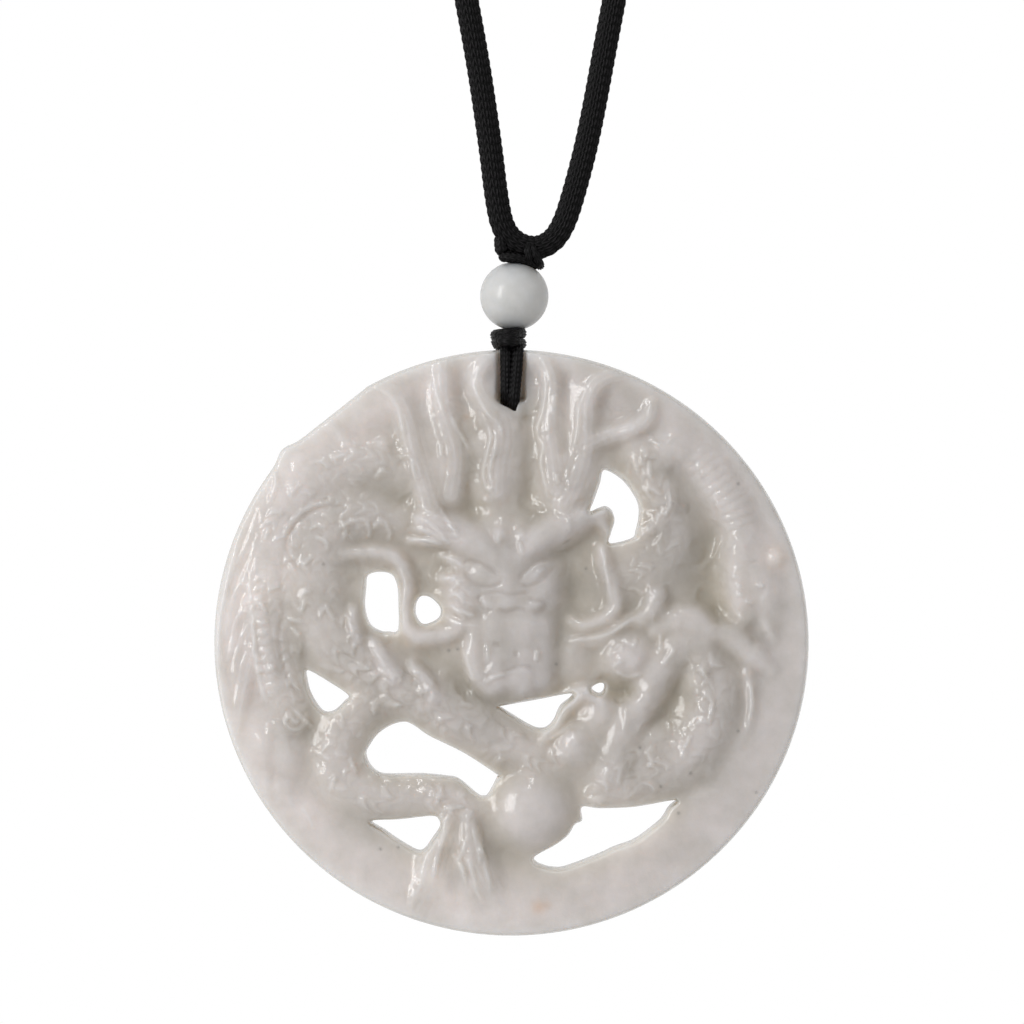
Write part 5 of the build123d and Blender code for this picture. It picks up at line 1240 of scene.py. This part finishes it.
def make_disc():
    flat, triangles, outline, rings = stone_front()
    u, v = flat.T
    inner = np.minimum(hole_distance(u, v, rings[:-1]), CORD_EDGE * hole_distance(u, v, rings[-1:]))
    inner = np.clip(inner, 0, None)
    outer = np.clip(outline_distance(u, v), 0, None)
    forms = carve_forms()
    height = relief(forms, u, v, inner, outer)
    colour = stone_colour(forms, u, v, height, np.minimum(inner, outer))
    height = skinned(height, u, v)
    front = np.column_stack([u * SHARE, BACK_Y - height * DISC_THICKNESS, DISC_Z + v * SHARE])
    sides, side_faces = make_walls(front, outline, rings)
    places = np.vstack([front, sides])
    faces = triangles.tolist() + [tuple(len(front) + k for k in face) for face in side_faces]
    piece = new_mesh("carved_stone", places, faces, "drop")
    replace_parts(piece, "jade_disc")
    # The stone attribute: the colour with its painted shade and light, and in its alpha how rough the carving
    # is
    colour_layer = piece.data.attributes.new("stone", "FLOAT_COLOR", "POINT")
    colours = np.ones((len(places), 4))
    # The walls and the back are painted the pale edge colour: painted light
    colours[:, :3] = EDGE_PAINTED_LIGHT
    colours[:len(front), :3] = colour
    colours[:, 3] = 0
    colours[:len(front), 3] = carved_share(u, v)
    colour_layer.data.foreach_set("color", colours.ravel())
    look = jade_material("jade_look", tint=(1, 1, 1), roughness=0.13, cut_depth=0.4 * MM, spread=3.1 * MM)
    piece.data.materials.append(look)


def make_walls(front, outline, rings):
    """The stone's edge, the walls of its holes and its back."""
    places = []
    faces = []
    first = 0
    borders = []
    for ring in [outline] + rings:
        size = len(ring)
        edge = front[first:first + size]
        first += size
        rows = [edge]
        if ring is outline:
            for share in BEVEL_ROWS:
                turn = share * math.pi / 2
                inset = 1 - BACK_BEVEL * (1 - math.cos(turn)) / DISC_RADIUS
                row = edge.copy()
                row[:, 1] = BACK_Y - BACK_BEVEL * (1 - math.sin(turn))
                row[:, 0] *= inset
                row[:, 2] = DISC_Z + (row[:, 2] - DISC_Z) * inset
                rows.append(row)
        else:
            row = edge.copy()
            row[:, 1] = BACK_Y
            if ring is rings[-1]:
                depth = np.clip((edge[:, 2].max() - edge[:, 2]) / np.ptp(edge[:, 2]), 0, 1)
                row[:, 2] -= CORD_LIP_SLANT * SHARE * depth
            rows.append(row)
        for upper, lower in zip(rows, rows[1:]):
            base = len(places)
            places += list(upper) + list(lower)
            faces += ring_faces(base, base + size, size)
        borders.append(rows[-1])
    base = len(places)
    flat = np.vstack(borders)
    shares = np.column_stack([flat[:, 0] / SHARE, (flat[:, 2] - DISC_Z) / SHARE])
    back = kept_triangles(shares, shares[:len(outline)], rings)
    places += list(flat)
    faces += [(base + a, base + c, base + b) for a, b, c in back]
    return np.array(places), faces


# The stone's colours, and the painted shade and light laid over them
CROWN_COLOUR = np.array((0.80, 0.755, 0.74))
# Painted shade: the khaki colour that hollows and low places are painted towards
HOLLOW_SHADE_COLOUR = np.array((0.675, 0.61, 0.505))
# Painted light: the paler colour of the walls, the back and a thin band along every edge
EDGE_PAINTED_LIGHT = np.array((0.90, 0.86, 0.81))
EDGE_LIGHT_SPREAD = 1.6
STAIN_COLOUR = np.array((0.70, 0.42, 0.22))
CALM_MARGIN = 4.0
SPECK_REACH = 0.5
SPECK_SHARE = 0.4
Stain = namedtuple("Stain", "u v reach share")
STAINS = [
    Stain(9, -88.5, 2.2, 0.35), Stain(12, -87.6, 1.4, 0.2), Stain(21.5, -61, 1.0, 0.5),
    Stain(-15, 76, 1.2, 0.2), Stain(89, 29, 4, 0.14),
]

# Where the stone is painted a little darker or lighter than round it: painted shade in hollows and pits and
# over much of the middle and right, painted light over much of the left, on the pearl and on two small bright
# spots, mixed with the stone's own tone
ToneAndLight = namedtuple("ToneAndLight", "u v reach share")
TONE_AND_LIGHT = [
    ToneAndLight(46, 32, 17, 0.89), ToneAndLight(-12, -27, 14, 0.89), ToneAndLight(3, -8, 12, 0.93), ToneAndLight(-60, 20, 17, 0.995),
    ToneAndLight(66, -28, 22, 0.955), ToneAndLight(60.5, -11.7, 2.4, 1.14), ToneAndLight(61.8, -5, 1.8, 1.1),
    ToneAndLight(0, 26, 18, 0.965), ToneAndLight(-82, 18, 13, 1.08), ToneAndLight(-22, -76, 16, 1.09), ToneAndLight(89, 29, 4.6, 1.11),
    ToneAndLight(92, -16, 16, 0.965), ToneAndLight(-25, -77, 6, 1.09), ToneAndLight(-10, -76, 5, 1.04),
    ToneAndLight(-19, -79, 3.4, 0.89), ToneAndLight(25, 20, 7, 0.9), ToneAndLight(18, -60, 7, 1.06), ToneAndLight(37, -16, 4, 0.95),
    ToneAndLight(-30, 74, 4, 0.93), ToneAndLight(-52, 75, 15, 1.05), ToneAndLight(-55, -46, 14, 1.06), ToneAndLight(-92, -30, 16, 1.03),
    ToneAndLight(-25, 58, 14, 1.03), ToneAndLight(-94, 0, 14, 0.97), ToneAndLight(-2, -55, 8, 1.05), ToneAndLight(-74, 22, 15, 1.04),
    ToneAndLight(80, 22, 9, 1.05),
]


# Where the stone's fine cuts fade: towards the rim, round the pearl and on the face
CUT_FADE = 6
PEARL_U, PEARL_V = 7.4, -56.2
PEARL_REACH = 13.2
PEARL_FADE = 3
FACE_V = 18
FACE_SHARE = 0.8
FACE_REACH = 12
FACE_CUTS = 0.35


def carved_share(u, v):
    """How rough the carving is: nothing on the rim and the pearl, little on the brows and the nose."""
    inside = np.clip((rim_start(u, v) - np.hypot(u, v)) / CUT_FADE, 0, 1)
    pearl = np.clip((np.hypot(u - PEARL_U, v - PEARL_V) - PEARL_REACH) / PEARL_FADE, 0, 1)
    face = np.clip(np.hypot(u, (v - FACE_V) * FACE_SHARE) / FACE_REACH - 1, FACE_CUTS, 1)
    return inside * pearl * face


# How much painted shade a place gets: by its depth under what is round it, and by its level
ROUND_SPREAD = 10
SHADE_BASE = 0.30
SHADE_BY_DEPTH = 4.0
SHADE_BY_LEVEL = 1.4
SHADE_LEVEL = 0.63
RAISED_FROM = 0.02
RAISED_SHADE_SHARE = 0.8

# The rim gets less painted shade and is painted paler, most of all on its left: painted light from the left
# that fades to the right
RIM_INSIDE = 70
RIM_FADE = 22
RIM_SHADE_CUT = 0.85
STONE_BRIGHT = 0.88
RIM_PAINTED_LIGHT = 0.11
RIGHT_LIGHT_FADE = 0.7


def stone_colour(forms, u, v, height, room):
    """Colour by place: painted khaki shade where it is hollow, painted light on the rim that fades to the
    right and along every edge, patches of painted shade and light, with a few stains and dark specks.
    """
    around_it = read_grid(softened(forms, ROUND_SPREAD), u, v)
    # Painted shade: darker and khaki in hollows, by depth under what is round them and by low level
    painted_shade = SHADE_BASE + SHADE_BY_DEPTH * (around_it - height) + SHADE_BY_LEVEL * (SHADE_LEVEL - height)
    painted_shade = np.clip(painted_shade, 0, 1)
    rim = np.clip((np.hypot(u, v) - RIM_INSIDE) / RIM_FADE, 0, 1)
    rim = rim * rim * (3 - 2 * rim)
    painted_shade *= np.where(height < around_it + RAISED_FROM, 1, RAISED_SHADE_SHARE) * (1 - RIM_SHADE_CUT * rim)
    colour = CROWN_COLOUR + (HOLLOW_SHADE_COLOUR - CROWN_COLOUR) * painted_shade[:, None]
    # Painted light on the rim: strongest on the left, fading towards the right
    to_right = np.clip(u / RIM_INSIDE, -0.2, 1)
    colour *= (STONE_BRIGHT + RIM_PAINTED_LIGHT * rim * (1 - RIGHT_LIGHT_FADE * to_right))[:, None]
    for colour_layer in STAINS:
        share = colour_layer.share * np.exp(-((u - colour_layer.u) ** 2 + (v - colour_layer.v) ** 2) / colour_layer.reach ** 2)
        colour += (STAIN_COLOUR - colour) * share[:, None]
    # Patches of painted shade and painted light, mixed with the stone's own tone
    for patch in TONE_AND_LIGHT:
        share = (patch.share - 1) * np.exp(-((u - patch.u) ** 2 + (v - patch.v) ** 2) / patch.reach ** 2)
        colour *= 1 + share[:, None]
    for a, b in SPECKS:
        colour *= 1 - SPECK_SHARE * np.exp(-((u - a) ** 2 + (v - b) ** 2) / SPECK_REACH ** 2)[:, None]
    # Painted light: a paler band along every edge
    colour += (EDGE_PAINTED_LIGHT - colour) * np.clip(1 - room / EDGE_LIGHT_SPREAD, 0, 1)[:, None]
    return np.clip(colour, 0, 1)


# How dark and how pale the stone's clouding goes
CLOUD_DARK = (0.865, 0.865, 0.845)
CLOUD_PALE = (1.075, 1.075, 1.085)


def jade_material(name, tint, roughness, cut_depth, spread):
    """Polished jade: the stone attribute's colour, which on the carved stone holds painted shade and light,
    clouded, with light that spreads inside it.
    """
    material, shader, add_node, links = new_material(name)
    stone = add_node("Attribute")
    stone.attribute_name = "stone"
    place = add_node("TexCoord")
    patch = add_node("TexNoise", Scale=260, Detail=7, Roughness=0.62)
    links.new(place.outputs["Object"], patch.inputs["Vector"])
    clouds = add_node("ValToRGB")
    clouds.color_ramp.elements[0].position = 0.30
    clouds.color_ramp.elements[0].color = (*(a * b for a, b in zip(CLOUD_DARK, tint)), 1)
    clouds.color_ramp.elements[1].position = 0.72
    clouds.color_ramp.elements[1].color = (*(a * b for a, b in zip(CLOUD_PALE, tint)), 1)
    links.new(patch.outputs["Fac"], clouds.inputs["Fac"])
    mix = add_node("Mix")
    mix.data_type = "RGBA"
    mix.blend_type = "MULTIPLY"
    mix.inputs["Factor"].default_value = 1
    links.new(stone.outputs["Color"], mix.inputs["A"])
    links.new(clouds.outputs["Color"], mix.inputs["B"])
    links.new(mix.outputs["Result"], shader.inputs["Base Color"])
    polish = add_node("TexNoise", Scale=1300, Detail=3)
    links.new(place.outputs["Object"], polish.inputs["Vector"])
    bump = add_node("Bump", Strength=0.35, Distance=0.00012)
    links.new(polish.outputs["Fac"], bump.inputs["Height"])
    cuts = add_node("TexNoise", Scale=520, Detail=2, Roughness=0.5, Distortion=0.6)
    cuts.noise_type = "RIDGED_MULTIFRACTAL"
    links.new(place.outputs["Object"], cuts.inputs["Vector"])
    cut = add_node("Bump", Distance=cut_depth)
    links.new(stone.outputs["Alpha"], cut.inputs["Strength"])
    links.new(cuts.outputs["Fac"], cut.inputs["Height"])
    links.new(bump.outputs["Normal"], cut.inputs["Normal"])
    links.new(cut.outputs["Normal"], shader.inputs["Normal"])
    shader.inputs["Roughness"].default_value = roughness
    shader.inputs["Specular IOR Level"].default_value = 0.43
    shader.inputs["Subsurface Weight"].default_value = 1.0
    shader.inputs["Subsurface Radius"].default_value = (1.0, 0.92, 0.82)
    shader.inputs["Subsurface Scale"].default_value = spread
    return material


BEAD_BORE = 0.85 * MM
BEAD_ROWS = 49
BEAD_SIDES = 72


def make_bead():
    """The drilled bead."""
    middle = (BEAD_LOW + BEAD_HIGH) / 2
    radius = (BEAD_HIGH.x - BEAD_LOW.x) / 2
    sides = BEAD_SIDES
    lean = math.asin(BEAD_BORE / radius)
    polar = np.linspace(lean, math.pi - lean, BEAD_ROWS)
    places = []
    for turn in polar:
        for k in range(sides):
            angle = 2 * math.pi * k / sides
            places.append((middle.x + radius * math.sin(turn) * math.cos(angle),
                           middle.y + radius * math.sin(turn) * math.sin(angle),
                           middle.z + radius * math.cos(turn)))
    faces = []
    for row in range(BEAD_ROWS - 1):
        here, under = row * sides, (row + 1) * sides
        faces += [(here + k, under + k, under + (k + 1) % sides, here + (k + 1) % sides)
                  for k in range(sides)]
    faces += ring_faces(0, (BEAD_ROWS - 1) * sides, sides)
    piece = new_mesh("jade_bead", places, faces, "holder")
    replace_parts(piece, "bead")
    colour_layer = piece.data.attributes.new("stone", "FLOAT_COLOR", "POINT")
    colour_layer.data.foreach_set("color", (*CROWN_COLOUR, 1) * len(piece.data.vertices))
    look = jade_material("bead_look", tint=(0.87, 0.915, 0.92), roughness=0.24, cut_depth=0.02 * MM,
                         spread=6 * MM)
    piece.data.materials.append(look)


STAGE_RADIUS = 0.3
STAGE_Z = -0.45


def make_floor():
    bpy.ops.mesh.primitive_circle_add(vertices=128, radius=STAGE_RADIUS, fill_type="NGON",
                                      location=(0, BRIDGE_Y, STAGE_Z))
    floor = bpy.context.object
    floor.name = "floor"
    material, shader, _, _ = new_material("floor_look")
    shader.inputs["Base Color"].default_value = (0.86, 0.86, 0.86, 1)
    shader.inputs["Roughness"].default_value = 0.9
    floor.data.materials.append(material)


Light = namedtuple("Light", "name place width height power")
LIGHTS = [
    Light("window", (-0.74, -0.64, 0.27), 0.34, 0.70, 5.0),
    Light("lamp", (-0.12, -0.62, 0.80), 0.12, 0.12, 0.6),
]

# The world's light, and what camera rays and reflections see above it
WORLD_LIGHT = 0.43
SEEN_LIGHT = 0.57
REFLECTED_LIGHT = 0.30


def make_lights():
    world = bpy.data.worlds.new("studio")
    bpy.context.scene.world = world
    world.use_nodes = True
    nodes, links = world.node_tree.nodes, world.node_tree.links
    background = nodes["Background"]
    background.inputs["Color"].default_value = (1, 1, 1, 1)
    path = nodes.new("ShaderNodeLightPath")
    strength = None
    for ray, share in (("Is Camera Ray", SEEN_LIGHT), ("Is Glossy Ray", REFLECTED_LIGHT)):
        added = nodes.new("ShaderNodeMath")
        added.operation = "MULTIPLY_ADD"
        added.inputs[1].default_value = share
        added.inputs[2].default_value = WORLD_LIGHT
        links.new(path.outputs[ray], added.inputs[0])
        if strength:
            links.new(strength.outputs["Value"], added.inputs[2])
        strength = added
    links.new(strength.outputs["Value"], background.inputs["Strength"])
    centre = Vector((0, BRIDGE_Y, DISC_Z))
    for light in LIGHTS:
        data = bpy.data.lights.new(light.name, "AREA")
        data.shape = "RECTANGLE"
        data.size = light.width
        data.size_y = light.height
        data.energy = light.power
        lamp = new_object(light.name, data)
        lamp.location = centre + Vector(light.place)
        lamp.rotation_euler = (centre - lamp.location).to_track_quat("-Z", "Y").to_euler()
    bpy.context.scene.view_settings.view_transform = "Standard"


make_camera()
make_neck_cord()
make_loop_strands()
make_wound_parts()
make_disc()
make_bead()
make_lights()
make_floor()
